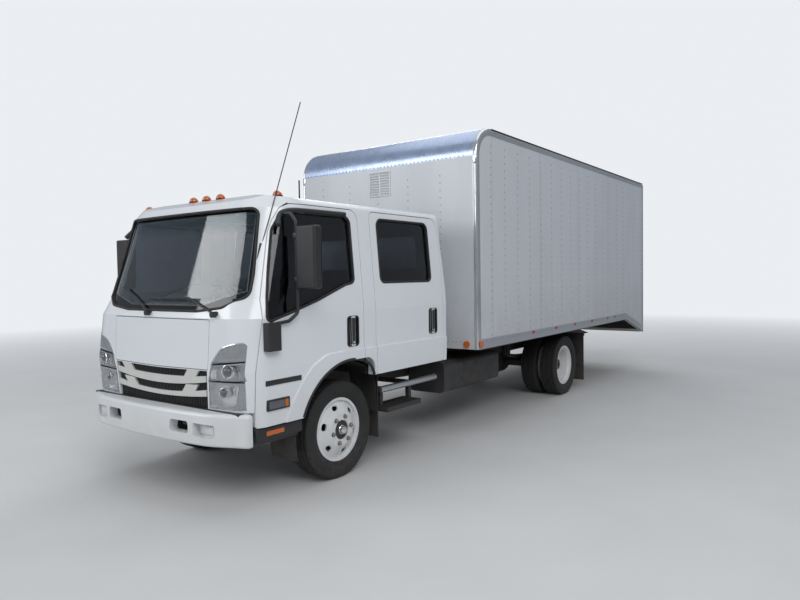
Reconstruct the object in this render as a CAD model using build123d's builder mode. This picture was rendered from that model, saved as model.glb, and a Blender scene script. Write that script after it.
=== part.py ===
from build123d import *
import os

os.makedirs("parts", exist_ok=True)

# Box truck with a four-door cab and a load body whose floor slopes down at the rear
# Millimetres: X to the driver's side, Y to the rear, Z up, ground at Z = 0

# Driving dimensions of the chassis
wheelbase = 4470
front_overhang = 1190
front_track = 1665
rear_track = 1670
dual_spacing = 274
frame_width = 864
frame_top = 790
rail_height = 190
rail_flange = 66
rail_wall = 6

# Driving dimensions of the wheels
tyre_radius = 400
tyre_width = 225
rim_radius = 247.5
flange_radius = 261
rim_half_width = 76
bead_lip = 7
disc_thickness = 12
disc_radius = 242
hub_bore_radius = 80
hand_hole_radius = 187
hand_holes = 6
front_disc_face = 117
rear_disc_face = 132
hub_radius = 79
hub_flange_radius = 140
kingpin_x = 730
kingpin_radius = 20
spindle_radius = 30
running_clearance = 0.05

# Driving dimensions of the cab
cab_length = 2600
cab_back_from_axle = 1540
cab_half_width = 1030
cab_wall = 60
cab_flare = 14
side_outer_x = cab_half_width + 170
back_corner_radius = 60
roof_corner_radius = 60
door_gap = 6
glass_thickness = 6
glass_inset = 20
lid_thickness = glass_inset + glass_thickness
floor_sheet = 30

# Driving dimensions of the bumper and the tow eyes
bumper_half_width = 1000
bumper_low = 475
bumper_high = 708
bumper_wall = 70
bumper_shelf = 18
bumper_bow = 45
bumper_knee_x = 700
tow_eye_radius = 17
tow_eye_thickness = 24
tow_eye_x = 395
tow_eye_z = 602

# Driving dimensions of the load body
body_width = 2438
body_wall = 45
flat_floor_length = 4877
tail_length = 970
tail_drop = 275
body_front_gap = 270
body_rail_bottom = 885
body_rail_height = 100
body_rail_step = 6
body_corner_radius = 40
body_post_width = 60
body_top_rail_height = 75
body_roof_top = 3180
body_nose_radius = 320
floor_thickness = 32
crossbeam_height = 75
crossbeam_width = 50
crossbeams = 12
ramp_thickness = 40
ramp_clearance = 6
portal_post_width = 90
portal_header_height = 170
portal_depth = 60
portal_sill_height = 107
ramp_hinge_rise = 16
hinge_radius = 9
lamp_radius = 36
lamp_rounding = 20
lamp_depth = 16

# Stations along the truck
body_rear_from_axle = cab_back_from_axle + body_front_gap + flat_floor_length + tail_length
front_axle_y = (front_overhang - body_rear_from_axle - lamp_depth) / 2
rear_axle_y = front_axle_y + wheelbase
cab_back_y = front_axle_y + cab_back_from_axle
cab_front_y = cab_back_y - cab_length
bumper_front_y = front_axle_y - front_overhang
body_front_y = cab_back_y + body_front_gap
kink_y = body_front_y + flat_floor_length
body_rear_y = kink_y + tail_length
body_half_width = body_width / 2
body_inner_half = body_half_width - body_wall
axle_z = tyre_radius
frame_bottom = frame_top - rail_height
floor_top = body_rail_bottom + crossbeam_height + floor_thickness
tail_floor_top = floor_top - tail_drop


def save(piece, name):
    piece.part.label = name
    export_step(piece.part, f"parts/{name}.step")


def save_pair(piece, name):
    # The left piece as made, the right one mirrored
    save(piece, f"{name}_left")
    with BuildPart() as mirrored:
        mirror(piece.part, about=Plane.YZ)
    save(mirrored, f"{name}_right")


def block(x_from, x_to, y_from, y_to, z_from, z_to, mode=Mode.ADD):
    with Locations(((x_from + x_to) / 2, (y_from + y_to) / 2, (z_from + z_to) / 2)):
        Box(abs(x_to - x_from), abs(y_to - y_from), abs(z_to - z_from), mode=mode)


def round_corners(sketch, points):
    # Points are (across, height, corner radius)
    for across, height, *radius in points:
        if radius:
            corner = sketch.vertices().sort_by_distance((across, height, 0))[0]
            fillet(corner, radius[0])


def side_outline(points, growth=0):
    # Points are (distance behind the front axle, height, radius of a rounded corner)
    placed = [(front_axle_y + y, z, *radius) for y, z, *radius in points]
    with BuildSketch(Plane.YZ) as sketch:
        with BuildLine():
            Polyline(*[(y, z) for y, z, *_ in placed], close=True)
        make_face()
        round_corners(sketch, placed)
        if growth:
            offset(amount=growth, kind=Kind.INTERSECTION)
    return sketch.sketch


def side_prism(points, x_from, x_to, growth=0, mode=Mode.ADD):
    outline = side_outline(points, growth).moved(Location((x_from, 0, 0)))
    extrude(outline, amount=x_to - x_from, mode=mode)


def front_prism(points, y_from, y_to, growth=0, mode=Mode.ADD):
    # Points are (x, height, radius of a rounded corner) on a plane square to the truck's length
    plane = Plane((0, y_to, 0), x_dir=(1, 0, 0), z_dir=(0, -1, 0))
    with BuildSketch(plane) as sketch:
        with BuildLine():
            Polyline(*[(x, z) for x, z, *_ in points], close=True)
        make_face()
        round_corners(sketch, points)
        if growth:
            offset(amount=growth, kind=Kind.INTERSECTION)
    extrude(sketch.sketch, amount=y_to - y_from, mode=mode)


def mirrored(points):
    # Adds the other half of an outline that is alike on both sides
    return points + [(-x, z, *radius) for x, z, *radius in reversed(points) if x]


def tube(points, radius, bend):
    with BuildPart() as pipe:
        with BuildLine() as path:
            FilletPolyline(*points, radius=bend)
        with BuildSketch(Plane(path.line @ 0, z_dir=path.line % 0)):
            Circle(radius)
        sweep()
    return pipe.part


# Cab sections from the sill to the roof
# height, half width, front line, bow of the front, corner radius, back line
cab_sections = [
    (555, cab_half_width - 25, 30, 40, 160, 0),
    (1000, cab_half_width, 0, 40, 200, 0),
    (1370, cab_half_width + 3, 20, 40, 280, 0),
    (1510, cab_half_width - 5, 80, 45, 330, 0),
    (2180, cab_half_width - 60, 275, 45, 360, 50),
    (2360, cab_half_width - 86, 440, 45, 360, 80),
]
header_z = 2000
# Roof line seen from the side, as (distance behind the front axle, height)
roof_side = [
    (-1200, 2085), (-700, 2250), (-560, 2300), (-330, 2330), (1040, 2330), (1360, 2292), (1462, 2240),
]
# Roof seen from the front
roof_crown = 2330
roof_edge_z = 2252
roof_edge_x = cab_half_width - 70.4
# The flat sides and the back are cut from a form that is this much larger
trim = 0.5


def cab_body(inset):
    with BuildPart() as body:
        side_line, rear_line = [], []
        for height, half_width, front, bow, corner, back in cab_sections:
            w = half_width - inset + trim
            y_mid = cab_front_y + front + inset
            y_back = cab_back_y - back - inset + trim
            z = height - inset if height > header_z else height
            if height < roof_edge_z:
                side_line.append((half_width - inset, z))
                rear_line.append((cab_back_from_axle - back - inset, z))
            with BuildSketch(Plane.XY.offset(z)) as section:
                with BuildLine():
                    ThreePointArc((-w, y_mid + bow), (0, y_mid), (w, y_mid + bow))
                    Line((w, y_mid + bow), (w, y_back))
                    Line((w, y_back), (-w, y_back))
                    Line((-w, y_back), (-w, y_mid + bow))
                make_face()
                fillet(section.vertices().group_by(Axis.Y)[0], corner - inset)
                fillet(section.vertices().group_by(Axis.Y)[-1], max(back_corner_radius - inset, 10))
        loft(ruled=True)
        top_line = [(y, z - inset) for y, z in roof_side]
        top_line[-1] = (roof_side[-1][0] - inset, roof_side[-1][1] - inset)
        side_view = [(-1200, 500)] + top_line + rear_line[::-1] + [(rear_line[0][0], 500)]
        side_prism(side_view, -side_outer_x, side_outer_x, mode=Mode.INTERSECT)
        edge_x, edge_z = roof_edge_x - inset, roof_edge_z - inset
        plane = Plane((0, body_rear_y, 0), x_dir=(1, 0, 0), z_dir=(0, -1, 0))
        with BuildSketch(plane) as front_view:
            with BuildLine():
                ThreePointArc((-edge_x, edge_z), (0, roof_crown - inset), (edge_x, edge_z))
                Polyline((edge_x, edge_z), *side_line[::-1], (side_line[0][0], 500))
                Line((side_line[0][0], 500), (-side_line[0][0], 500))
                Polyline((-side_line[0][0], 500), *[(-x, z) for x, z in side_line], (-edge_x, edge_z))
            make_face()
            for side in (-1, 1):
                corner = front_view.vertices().sort_by_distance((side * edge_x, edge_z, 0))[0]
                fillet(corner, max(roof_corner_radius - inset, 10))
        extrude(front_view.sketch, amount=body_rear_y - bumper_front_y, mode=Mode.INTERSECT)
    return body.part


def layer(outer, inner):
    with BuildPart() as between:
        add(outer)
        add(inner, mode=Mode.SUBTRACT)
    return between.part


# Outlines seen from the side, as (distance behind the front axle, height, corner radius)
front_door = [
    (-940, 600, 15), (-940, 1000, 200), (-846, 1490, 200), (-732, 1900), (-705, 1993), (-669, 2076),
    (-602, 2177), (-530, 2205), (206, 2205, 90), (206, 600, 10),
]
rear_door = [(372, 815, 20), (372, 2205, 55), (1402, 2205, 110), (1440, 1900, 300), (1434, 815, 45)]
front_window = [
    (-842, 1345, 22), (-790, 1548, 150), (-748, 1735, 300), (-677, 2010, 120), (-613, 2110, 60),
    (-530, 2142, 60), (105, 2142, 60), (105, 1612, 40), (0, 1595, 180), (-330, 1485, 300),
]
rear_window = [(471, 1605, 45), (471, 2145, 60), (1243, 2145, 60), (1248, 1605, 45)]
flare_outline = [
    (-690, 500), (-672, 609), (-612, 735, 120), (-510, 887, 150), (-407, 987, 150), (-259, 1056, 200),
    (-61, 1062, 400), (1490, 1054), (1490, 500),
]
front_handle = [(0, 1090, 25), (138, 1090, 25), (138, 1330, 25), (0, 1330, 25)]
rear_handle = [(1190, 1100, 25), (1325, 1100, 25), (1325, 1335, 25), (1190, 1335, 25)]
handle_depth = 28
grip_width = 44
grip_rise = 8
door_front_x = 790

# Wheel arch in the cab side
arch_radius = 568
arch_centre = (29, 410)
arch_top = 977
arch_rear = 345
arch_rear_corner = 110

# Where the front panel, the roof and the back panel meet the cab sides
roof_seam_z = 2218
side_foot_z = 815
front_line = [
    (-946, 560), (-946, 1000), (-852, 1490), (-738, 1900), (-711, 1993), (-675, 2076), (-608, 2177),
    (-540, roof_seam_z),
]
back_line = [(1441, roof_seam_z), (1476, 1900), (1476, side_foot_z)]
roof_line = [(-540, roof_seam_z), (-500, 2 * roof_seam_z), (1420, 2 * roof_seam_z), (1441, roof_seam_z)]

# Floor levels of the cab
cab_floor_rear_z = 850
wheelhouse_top_z = 1030
footwell_z = 630
hump_half_width = 470
floor_half_width = cab_half_width - cab_wall - 32

# Outlines seen from the front, as (x, height, corner radius)
windscreen_outline = mirrored([
    (453, 1425), (700, 1452, 150), (880, 1532, 55), (872, 1680, 200), (836, 1934, 200), (803, 2165, 60),
])
back_window_outline = mirrored([(700, 1560, 50), (680, 2060, 50)])
lid_outline = mirrored([(0, 995), (600, 1003, 14), (609, 1358, 14)])
grille_hole = mirrored([(572, 711), (594, 992), (0, 983)])
lamp_outline = [
    (588, 724, 12), (940, 735, 25), (948, 1185, 20), (925, 1204, 15), (889, 1201, 60), (828, 1188, 60),
    (779, 1174, 60), (728, 1151, 60), (687, 1106, 40), (657, 1069, 40), (636, 1038, 20), (602, 920, 20),
]
cab_foot_z = 712
front_zone = [(-1200, cab_foot_z), (-946, cab_foot_z)] + front_line[1:] + [(-1200, roof_seam_z)]
back_zone = back_line + [(1700, side_foot_z), (1700, roof_seam_z)]
front_from = cab_front_y - 100
front_to = cab_front_y + 560
back_from = cab_back_y - 200
back_to = cab_back_y + 100

cab_shell = cab_body(0)
cab_inner = cab_body(cab_wall)
cab_room = cab_body(cab_wall + door_gap + 2)
lid_inner = cab_body(lid_thickness)
recess_floor = cab_body(lid_thickness + door_gap)
glass_skin = layer(cab_body(glass_inset), lid_inner)
lid_skin = layer(cab_shell, lid_inner)
recess_skin = layer(cab_shell, recess_floor)
back_skin = layer(lid_inner, recess_floor)

# The raised band over the arch and along the foot of the doors
flare_draft = 30
with BuildPart() as flare:
    band = side_outline(flare_outline, growth=20).moved(Location((cab_half_width - 30, 0, 0)))
    extrude(band, amount=80, taper=flare_draft)
    mirror(about=Plane.YZ)
    add(cab_body(-cab_flare), mode=Mode.INTERSECT)
with BuildPart() as flared_shell:
    add(cab_shell)
    add(flare.part)
cab_skin = layer(flared_shell.part, cab_inner)


def cut_arch():
    centre_y, centre_z = front_axle_y + arch_centre[0], arch_centre[1]
    rear_y = front_axle_y + arch_rear
    with BuildSketch(Plane.YZ) as arch:
        with Locations((centre_y, centre_z)):
            Circle(arch_radius)
        with Locations(((centre_y + rear_y) / 2, arch_top / 2)):
            Rectangle(rear_y - centre_y, arch_top)
        with Locations((rear_y + arch_radius / 2, arch_top)):
            Rectangle(arch_radius, 2 * arch_top, mode=Mode.SUBTRACT)
        fillet(arch.vertices().sort_by_distance((rear_y, arch_top, 0))[0], arch_rear_corner)
    opening = arch.sketch.moved(Location((door_front_x, 0, 0)))
    extrude(opening, amount=side_outer_x - door_front_x, mode=Mode.SUBTRACT)


def cut_front_openings(growth):
    # Keeps side pieces clear of the windscreen and the headlamp
    for outline in (windscreen_outline, lamp_outline):
        front_prism(outline, front_from, front_to, growth=growth, mode=Mode.SUBTRACT)


def make_cab_floor():
    wide, hump = floor_half_width, hump_half_width
    sheets = [
        # x from, x to, distance behind the front axle from, to, bottom, top
        (-wide, wide, 330, 1480, cab_floor_rear_z - floor_sheet, cab_floor_rear_z),
        (-wide, wide, -520, 345, wheelhouse_top_z - floor_sheet, wheelhouse_top_z),
        (-hump, hump, -1020, -500, wheelhouse_top_z - floor_sheet, wheelhouse_top_z),
        (-wide, wide, 330, 330 + floor_sheet, cab_floor_rear_z - floor_sheet, wheelhouse_top_z),
    ]
    for side in (-1, 1):
        inner = side * (hump - floor_sheet)
        sheets += [
            (inner, side * wide, -1000, -500, footwell_z - floor_sheet, footwell_z),
            (inner, side * wide, -530, -500, footwell_z - floor_sheet, wheelhouse_top_z),
            (inner, side * hump, -1000, -500, footwell_z - floor_sheet, wheelhouse_top_z),
        ]
    with BuildPart() as floor:
        for x_from, x_to, y_from, y_to, bottom, top in sheets:
            block(x_from, x_to, front_axle_y + y_from, front_axle_y + y_to, bottom, top)
        # The front edges of the doors swing in over these corners
        for side in (-1, 1):
            y_from, y_to = front_axle_y - 1000, front_axle_y - 770
            block(side * 830, side * 1000, y_from, y_to, 500, 700, mode=Mode.SUBTRACT)
        add(cab_inner, mode=Mode.INTERSECT)
    save(floor, "cab_floor")


def make_cab_sides():
    # Pillars and the rail over the doors
    zone = [(100, side_foot_z), (100, header_z), (-300, header_z)] + roof_line[:3] + back_line
    with BuildPart() as sides:
        add(cab_skin)
        side_prism(zone, door_front_x, side_outer_x, mode=Mode.INTERSECT)
        cut_arch()
        for outline in (front_door, rear_door):
            side_prism(outline, door_front_x - 90, side_outer_x, growth=door_gap, mode=Mode.SUBTRACT)
        cut_front_openings(door_gap)
        mirror(about=Plane.YZ)
    save(sides, "cab_sides")


def make_cab_front():
    with BuildPart() as front:
        add(cab_skin)
        side_prism(front_zone, -side_outer_x, side_outer_x, mode=Mode.INTERSECT)
        front_prism(windscreen_outline, front_from, front_to, mode=Mode.SUBTRACT)
        front_prism(grille_hole, front_from, front_to, mode=Mode.SUBTRACT)
        for side in (-1, 1):
            lamp = [(side * x, z, radius) for x, z, radius in lamp_outline]
            front_prism(lamp, front_from, front_to, mode=Mode.SUBTRACT)
    with BuildPart() as lid_recess:
        add(recess_skin)
        front_prism(lid_outline, front_from, front_to, growth=door_gap, mode=Mode.INTERSECT)
    with BuildPart() as cab_front:
        add(front.part)
        add(lid_recess.part, mode=Mode.SUBTRACT)
    save(cab_front, "cab_front")


def make_cab_back():
    with BuildPart() as back:
        add(cab_skin)
        side_prism(back_zone, -side_outer_x, side_outer_x, mode=Mode.INTERSECT)
        front_prism(back_window_outline, back_from, back_to, mode=Mode.SUBTRACT)
    save(back, "cab_back")


def make_cab_roof():
    with BuildPart() as roof:
        add(cab_skin)
        block(
            -cab_half_width, cab_half_width, cab_front_y, cab_back_y, roof_seam_z, 2 * roof_seam_z,
            mode=Mode.INTERSECT,
        )
        for side in (-1, 1):
            side_prism(roof_line, side * door_front_x, side * side_outer_x, mode=Mode.SUBTRACT)
    save(roof, "cab_roof")


def make_cab_glass():
    with BuildPart() as screen:
        add(glass_skin)
        front_prism(windscreen_outline, front_from, front_to, mode=Mode.INTERSECT)
    with BuildPart() as back_pane:
        add(glass_skin)
        front_prism(back_window_outline, back_from, back_to, mode=Mode.INTERSECT)
    with BuildPart() as glass:
        add(screen.part)
        add(back_pane.part)
    save(glass, "cab_glass")


def make_service_lid():
    with BuildPart() as lid:
        add(lid_skin)
        front_prism(lid_outline, front_from, front_to, mode=Mode.INTERSECT)
    save(lid, "service_lid")


def make_grille():
    hole_half = 574
    slot_rows = [
        # height at the middle, rise towards the ends, slots, pitch
        (957, 15, 19, 54),
        (836, 43, 19, 54),
        (742, 20, 19, 54),
    ]
    with BuildPart() as backing:
        add(back_skin)
        front_prism(grille_hole, front_from, front_to, mode=Mode.INTERSECT)
        with BuildSketch(Plane((0, front_to, 0), x_dir=(1, 0, 0), z_dir=(0, -1, 0))) as slots:
            for height, rise, count, pitch in slot_rows:
                for i in range(count):
                    x = (i - (count - 1) / 2) * pitch
                    with Locations((x, height + rise * (x / hole_half) ** 2)):
                        SlotOverall(44, 12)
        extrude(slots.sketch, amount=front_to - front_from, mode=Mode.SUBTRACT)
    bars = [
        # half width, lower edge at the middle and at the ends, upper edge at the middle and at the ends
        (574, 865, 908, 928, 953),
        (566, 772, 802, 807, 850),
    ]
    # Struts lean outwards above and between the bars, as (x, height)
    struts = [
        [(318, 925), (447, 925), (505, 990), (372, 990)],
        [(272, 795), (412, 795), (482, 882), (340, 876)],
    ]
    with BuildPart() as grille:
        add(lid_skin)
        with BuildSketch(Plane((0, front_to, 0), x_dir=(1, 0, 0), z_dir=(0, -1, 0))) as bars_seen:
            for half, low, low_end, high, high_end in bars:
                with BuildLine():
                    ThreePointArc((-half, low_end), (0, low), (half, low_end))
                    Line((half, low_end), (half, high_end))
                    ThreePointArc((half, high_end), (0, high), (-half, high_end))
                    Line((-half, high_end), (-half, low_end))
                make_face()
            for strut in struts:
                for side in (-1, 1):
                    with BuildLine():
                        Polyline(*[(side * x, z) for x, z in strut], close=True)
                    make_face()
        extrude(bars_seen.sketch, amount=front_to - front_from, mode=Mode.INTERSECT)
        front_prism(grille_hole, front_from, front_to, mode=Mode.INTERSECT)
        add(backing.part)
    save(grille, "grille")


def make_headlamps():
    # The lens has two tiers below the cover in the corner
    seams = [
        # inner height, outer height
        (917, 936),
        (1037, 1072),
    ]
    seam_width = 7
    seam_depth = 8
    with BuildPart() as seam_skin:
        add(layer(cab_shell, cab_body(seam_depth)))
        with BuildSketch(Plane((0, front_to, 0), x_dir=(1, 0, 0), z_dir=(0, -1, 0))) as seams_seen:
            for inner, outer in seams:
                with BuildLine():
                    Polyline(
                        (580, inner), (960, outer), (960, outer + seam_width), (580, inner + seam_width),
                        close=True,
                    )
                make_face()
        extrude(seams_seen.sketch, amount=front_to - front_from, mode=Mode.INTERSECT)
    with BuildPart() as lamps:
        add(cab_skin)
        front_prism(lamp_outline, front_from, front_to, mode=Mode.INTERSECT)
        side_prism(front_zone, 0, side_outer_x, mode=Mode.INTERSECT)
        add(seam_skin.part, mode=Mode.SUBTRACT)
        mirror(about=Plane.YZ)
    save(lamps, "headlamps")


def bumper_plan(inset):
    with BuildSketch(Plane.XY.offset(bumper_low)) as plan:
        w = bumper_half_width - inset
        knee_x = bumper_knee_x - inset / 4
        y_knee = bumper_front_y + bumper_bow + inset
        y_corner = bumper_front_y + 165 + 0.6 * inset
        y_end = bumper_front_y + 205 + (10 if inset else 0)
        with BuildLine():
            ThreePointArc((-knee_x, y_knee), (0, y_knee - bumper_bow), (knee_x, y_knee))
            Polyline((knee_x, y_knee), (w, y_corner), (w, y_end), (-w, y_end), (-w, y_corner), (-knee_x, y_knee))
        make_face()
        for side in (-1, 1):
            fillet(plan.vertices().sort_by_distance((side * knee_x, y_knee, bumper_low))[0], 250 - inset)
            if not inset:
                fillet(plan.vertices().sort_by_distance((side * w, y_corner, bumper_low))[0], 35)
    return plan.sketch


with BuildPart() as bumper_shell:
    extrude(bumper_plan(0), amount=bumper_high - bumper_low)
    rear_face_y = bumper_shell.faces().sort_by(Axis.Y)[-1].center().Y
    for end, edge_radius in ((-1, 26), (0, 18)):
        rim = bumper_shell.faces().sort_by(Axis.Z)[end].edges()
        fillet([edge for edge in rim if edge.center().Y < rear_face_y - 1], edge_radius)
    extrude(bumper_plan(bumper_wall), amount=bumper_high - bumper_shelf - bumper_low, mode=Mode.SUBTRACT)


def make_front_bumper():
    tow_opening = [(312, 556, 22), (515, 553, 22), (515, 640, 22), (325, 642, 22)]
    fog_recess = [(565, 540, 16), (757, 535, 16), (757, 628, 16), (565, 636, 16)]
    with BuildPart() as bumper:
        add(bumper_shell.part)
        for side in (-1, 1):
            for outline, depth in ((tow_opening, 200), (fog_recess, 88)):
                placed = [(side * x, z, radius) for x, z, radius in outline]
                front_prism(placed, bumper_front_y - 50, bumper_front_y + depth, mode=Mode.SUBTRACT)
    save(bumper, "front_bumper")


def make_doors():
    doors = [
        # name, door outline, window outline, handle outline
        ("front", front_door, front_window, front_handle),
        ("rear", rear_door, rear_window, rear_handle),
    ]
    for end, outline, window, handle in doors:
        pocket_x = cab_half_width - handle_depth
        grip_y = front_axle_y + (handle[0][0] + handle[1][0]) / 2
        with BuildPart() as door:
            add(cab_skin)
            side_prism(outline, door_front_x, side_outer_x, mode=Mode.INTERSECT)
            side_prism(window, door_front_x, side_outer_x, mode=Mode.SUBTRACT)
            cut_arch()
            cut_front_openings(door_gap)
            # Pull handle in a pocket
            side_prism(handle, pocket_x, side_outer_x, mode=Mode.SUBTRACT)
            block(
                cab_half_width - handle_depth / 2, cab_half_width + grip_rise,
                grip_y - grip_width / 2, grip_y + grip_width / 2, handle[0][1], handle[2][1],
            )
        with BuildPart() as pane:
            add(glass_skin)
            side_prism(window, door_front_x, side_outer_x, mode=Mode.INTERSECT)
        save_pair(door, f"door_{end}")
        save_pair(pane, f"window_{end}")


def make_mirrors():
    y = front_axle_y
    arm_points = [
        (890, y - 594, 2130), (1020, y - 597, 2125), (1076, y - 600, 2060),
        (1076, y - 600, 1400), (1060, y - 672, 1343), (1045, y - 790, 1329),
    ]
    with BuildPart() as head:
        with Locations((1180, y - 585, 1800)):
            Box(205, 76, 455)
        fillet(head.edges().filter_by(Axis.Z), 26)
        fillet(head.edges().filter_by(Axis.Z, reverse=True), 12)
    with BuildPart() as arm:
        add(tube(arm_points, 13, 45))
        # Bracket on the door
        with Locations((1045, y - 823, 1240)):
            bracket = Box(70, 126, 200)
        fillet(bracket.edges().filter_by(Axis.Z), 18)
        add(head.part)
        add(cab_shell, mode=Mode.SUBTRACT)
    save_pair(arm, "mirror")


def make_seats():
    y = front_axle_y
    seat_profile = [
        (0, 0), (470, 0), (470, 30), (560, 620, 40), (450, 640, 40), (400, 180, 40), (0, 150, 40),
    ]
    seats = [
        # x from, x to, front edge, base height
        (260, 780, -330, wheelhouse_top_z),
        (-800, 100, -330, wheelhouse_top_z),
        (-780, 780, 840, 1100),
    ]
    with BuildPart() as all_seats:
        for x_from, x_to, front_edge, base in seats:
            points = [(front_edge + a, base + b, *radius) for a, b, *radius in seat_profile]
            side_prism(points, x_from, x_to)
        block(-780, 780, y + 920, y + 1270, cab_floor_rear_z, 1100)
    save(all_seats, "seats")


def make_dashboard():
    profile = [(-925, 1130), (-780, 1130), (-700, 1280), (-690, 1380, 30), (-760, 1420, 40), (-925, 1400)]
    with BuildPart() as support:
        block(-400, 400, front_axle_y - 1040, front_axle_y - 850, 1150, 1380)
        add(cab_inner, mode=Mode.INTERSECT)
    column = Plane((430, front_axle_y - 720, 1330), z_dir=(0, 0.6, 0.8))
    with BuildPart() as dash:
        side_prism(profile, -880, 880)
        add(cab_room, mode=Mode.INTERSECT)
        add(support.part)
        with BuildSketch(column) as shaft:
            Circle(32)
        extrude(shaft.sketch, amount=200)
        with BuildSketch(column.offset(180)) as wheel:
            Circle(210)
            Circle(188, mode=Mode.SUBTRACT)
            Rectangle(400, 44)
            Circle(70)
        extrude(wheel.sketch, amount=26)
    save(dash, "dashboard")


def make_wipers():
    arms = [
        # pivot x, elbow x and height, tip x and height
        (-124, -340, 1490, -620, 1593),
        (665, 324, 1515, -189, 1511),
    ]
    pivot_z = 1400
    with BuildPart() as wipers:
        for pivot_x, elbow_x, elbow_z, tip_x, tip_z in arms:
            # The arm lies just off the glass
            stations = [(pivot_x, pivot_z), (elbow_x, elbow_z), (tip_x, tip_z)]
            points = []
            for x, z in stations:
                lean = 20 + (z - 1370) * 0.43 if z < 1510 else 80 + (z - 1510) * 0.29
                bow = 45 * (x / cab_half_width) ** 2
                points.append((x, cab_front_y + lean + bow - 12, z))
            add(tube(points, 8, 60))
            with Locations(points[0]):
                Cylinder(22, 60, rotation=(90, 0, 0))
        add(cab_shell, mode=Mode.SUBTRACT)
    save(wipers, "wipers")


def make_antenna():
    y = front_axle_y
    with BuildPart() as antenna:
        add(tube([(872, y - 770, 1850), (890, y - 690, 2080), (822, y - 270, 3030)], 4, 40))
        with Locations((868, y - 772, 1845)):
            Cylinder(13, 130, rotation=(-19, 0, 0))
        add(cab_shell, mode=Mode.SUBTRACT)
    save(antenna, "antenna")


def make_chassis_frame():
    rail_front = front_axle_y - 965
    rail_back = body_rear_y - 120
    outer_x = frame_width / 2
    web_x = outer_x - rail_wall
    flange_x = outer_x - rail_flange
    horn_low, horn_top = 650, 700
    lug_low, lug_top = tow_eye_z - tow_eye_thickness / 2, tow_eye_z + tow_eye_thickness / 2
    lug_front = bumper_front_y + 90
    lug_web = 16
    # Distances of the crossmembers behind the front axle
    crossmembers = [-900, 1150, 1750, 2600, 3500, 5200, 6100, 7400]
    cab_mounts = [
        # distance behind the front axle from, to, top
        (1300, 1380, cab_floor_rear_z - floor_sheet),
        (-480, -400, wheelhouse_top_z - floor_sheet),
    ]
    with BuildPart() as frame:
        for side in (-1, 1):
            block(side * flange_x, side * outer_x, rail_front, rail_back, frame_bottom, frame_top)
            block(
                side * flange_x, side * web_x, rail_front, rail_back,
                frame_bottom + rail_wall, frame_top - rail_wall, mode=Mode.SUBTRACT,
            )
        for y in crossmembers:
            y_from = front_axle_y + y - 30
            block(-web_x, web_x, y_from, y_from + 60, frame_bottom + rail_wall, frame_top - rail_wall)
        # The tail of the frame is cut down under the sloping floor
        kink = kink_y - front_axle_y
        tail = kink + tail_length
        cut = [(kink - 100, frame_top + 10), (kink, 700), (tail, 480), (tail, frame_top + 10)]
        side_prism(cut, -outer_x, outer_x, mode=Mode.SUBTRACT)
        for side in (-1, 1):
            # Horn up to the bumper, and the flat tow lug behind the opening in the bumper
            block(side * flange_x, side * outer_x, bumper_front_y + 60, rail_front, horn_low, horn_top)
            block(side * flange_x, side * outer_x, lug_front, rail_front, lug_low, lug_top)
            block(side * (outer_x - lug_web), side * outer_x, lug_front, rail_front, lug_low, horn_top)
            with Locations((side * tow_eye_x, front_axle_y - 1058, tow_eye_z)):
                Cylinder(tow_eye_radius, 2 * tow_eye_thickness, mode=Mode.SUBTRACT)
            for start, end, top in cab_mounts:
                y_from, y_to = front_axle_y + start, front_axle_y + end
                block(side * flange_x, side * outer_x, y_from, y_to, frame_top, top)
        add(bumper_shell.part, mode=Mode.SUBTRACT)
    save(frame, "chassis_frame")


def make_front_axle():
    # Dropped beam between the king pins, as (x, height, corner radius)
    end_x = kingpin_x - 30
    beam = mirrored([
        (480, 380, 40), (560, 440, 40), (end_x, 440), (end_x, 370), (580, 360, 40), (500, 290, 40),
    ])
    with BuildPart() as axle:
        front_prism(beam, front_axle_y - 35, front_axle_y + 35)
        for side in (-1, 1):
            with Locations((side * kingpin_x, front_axle_y, axle_z)):
                Cylinder(42, 90)
                Cylinder(kingpin_radius + running_clearance, 90, mode=Mode.SUBTRACT)
    save(axle, "front_axle")


def make_knuckles():
    x, y = kingpin_x, front_axle_y
    with BuildPart() as knuckle:
        for z in (axle_z + 62, axle_z - 62):
            with Locations((x, y, z)):
                Cylinder(40, 28)
            block(x, x + 50, y - 35, y + 35, z - 14, z + 14)
        block(x + 45, x + 70, y - 45, y + 45, axle_z - 76, axle_z + 76)
        with Locations((x, y, axle_z)):
            Cylinder(kingpin_radius, 150)
        with Locations((x + 115, y, axle_z)):
            Cylinder(spindle_radius, 130, rotation=(0, 90, 0))
        # Steering arm towards the rear
        block(x - 45, x + 10, y + 20, y + 190, axle_z - 76, axle_z - 56)
    save_pair(knuckle, "knuckle")


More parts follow.
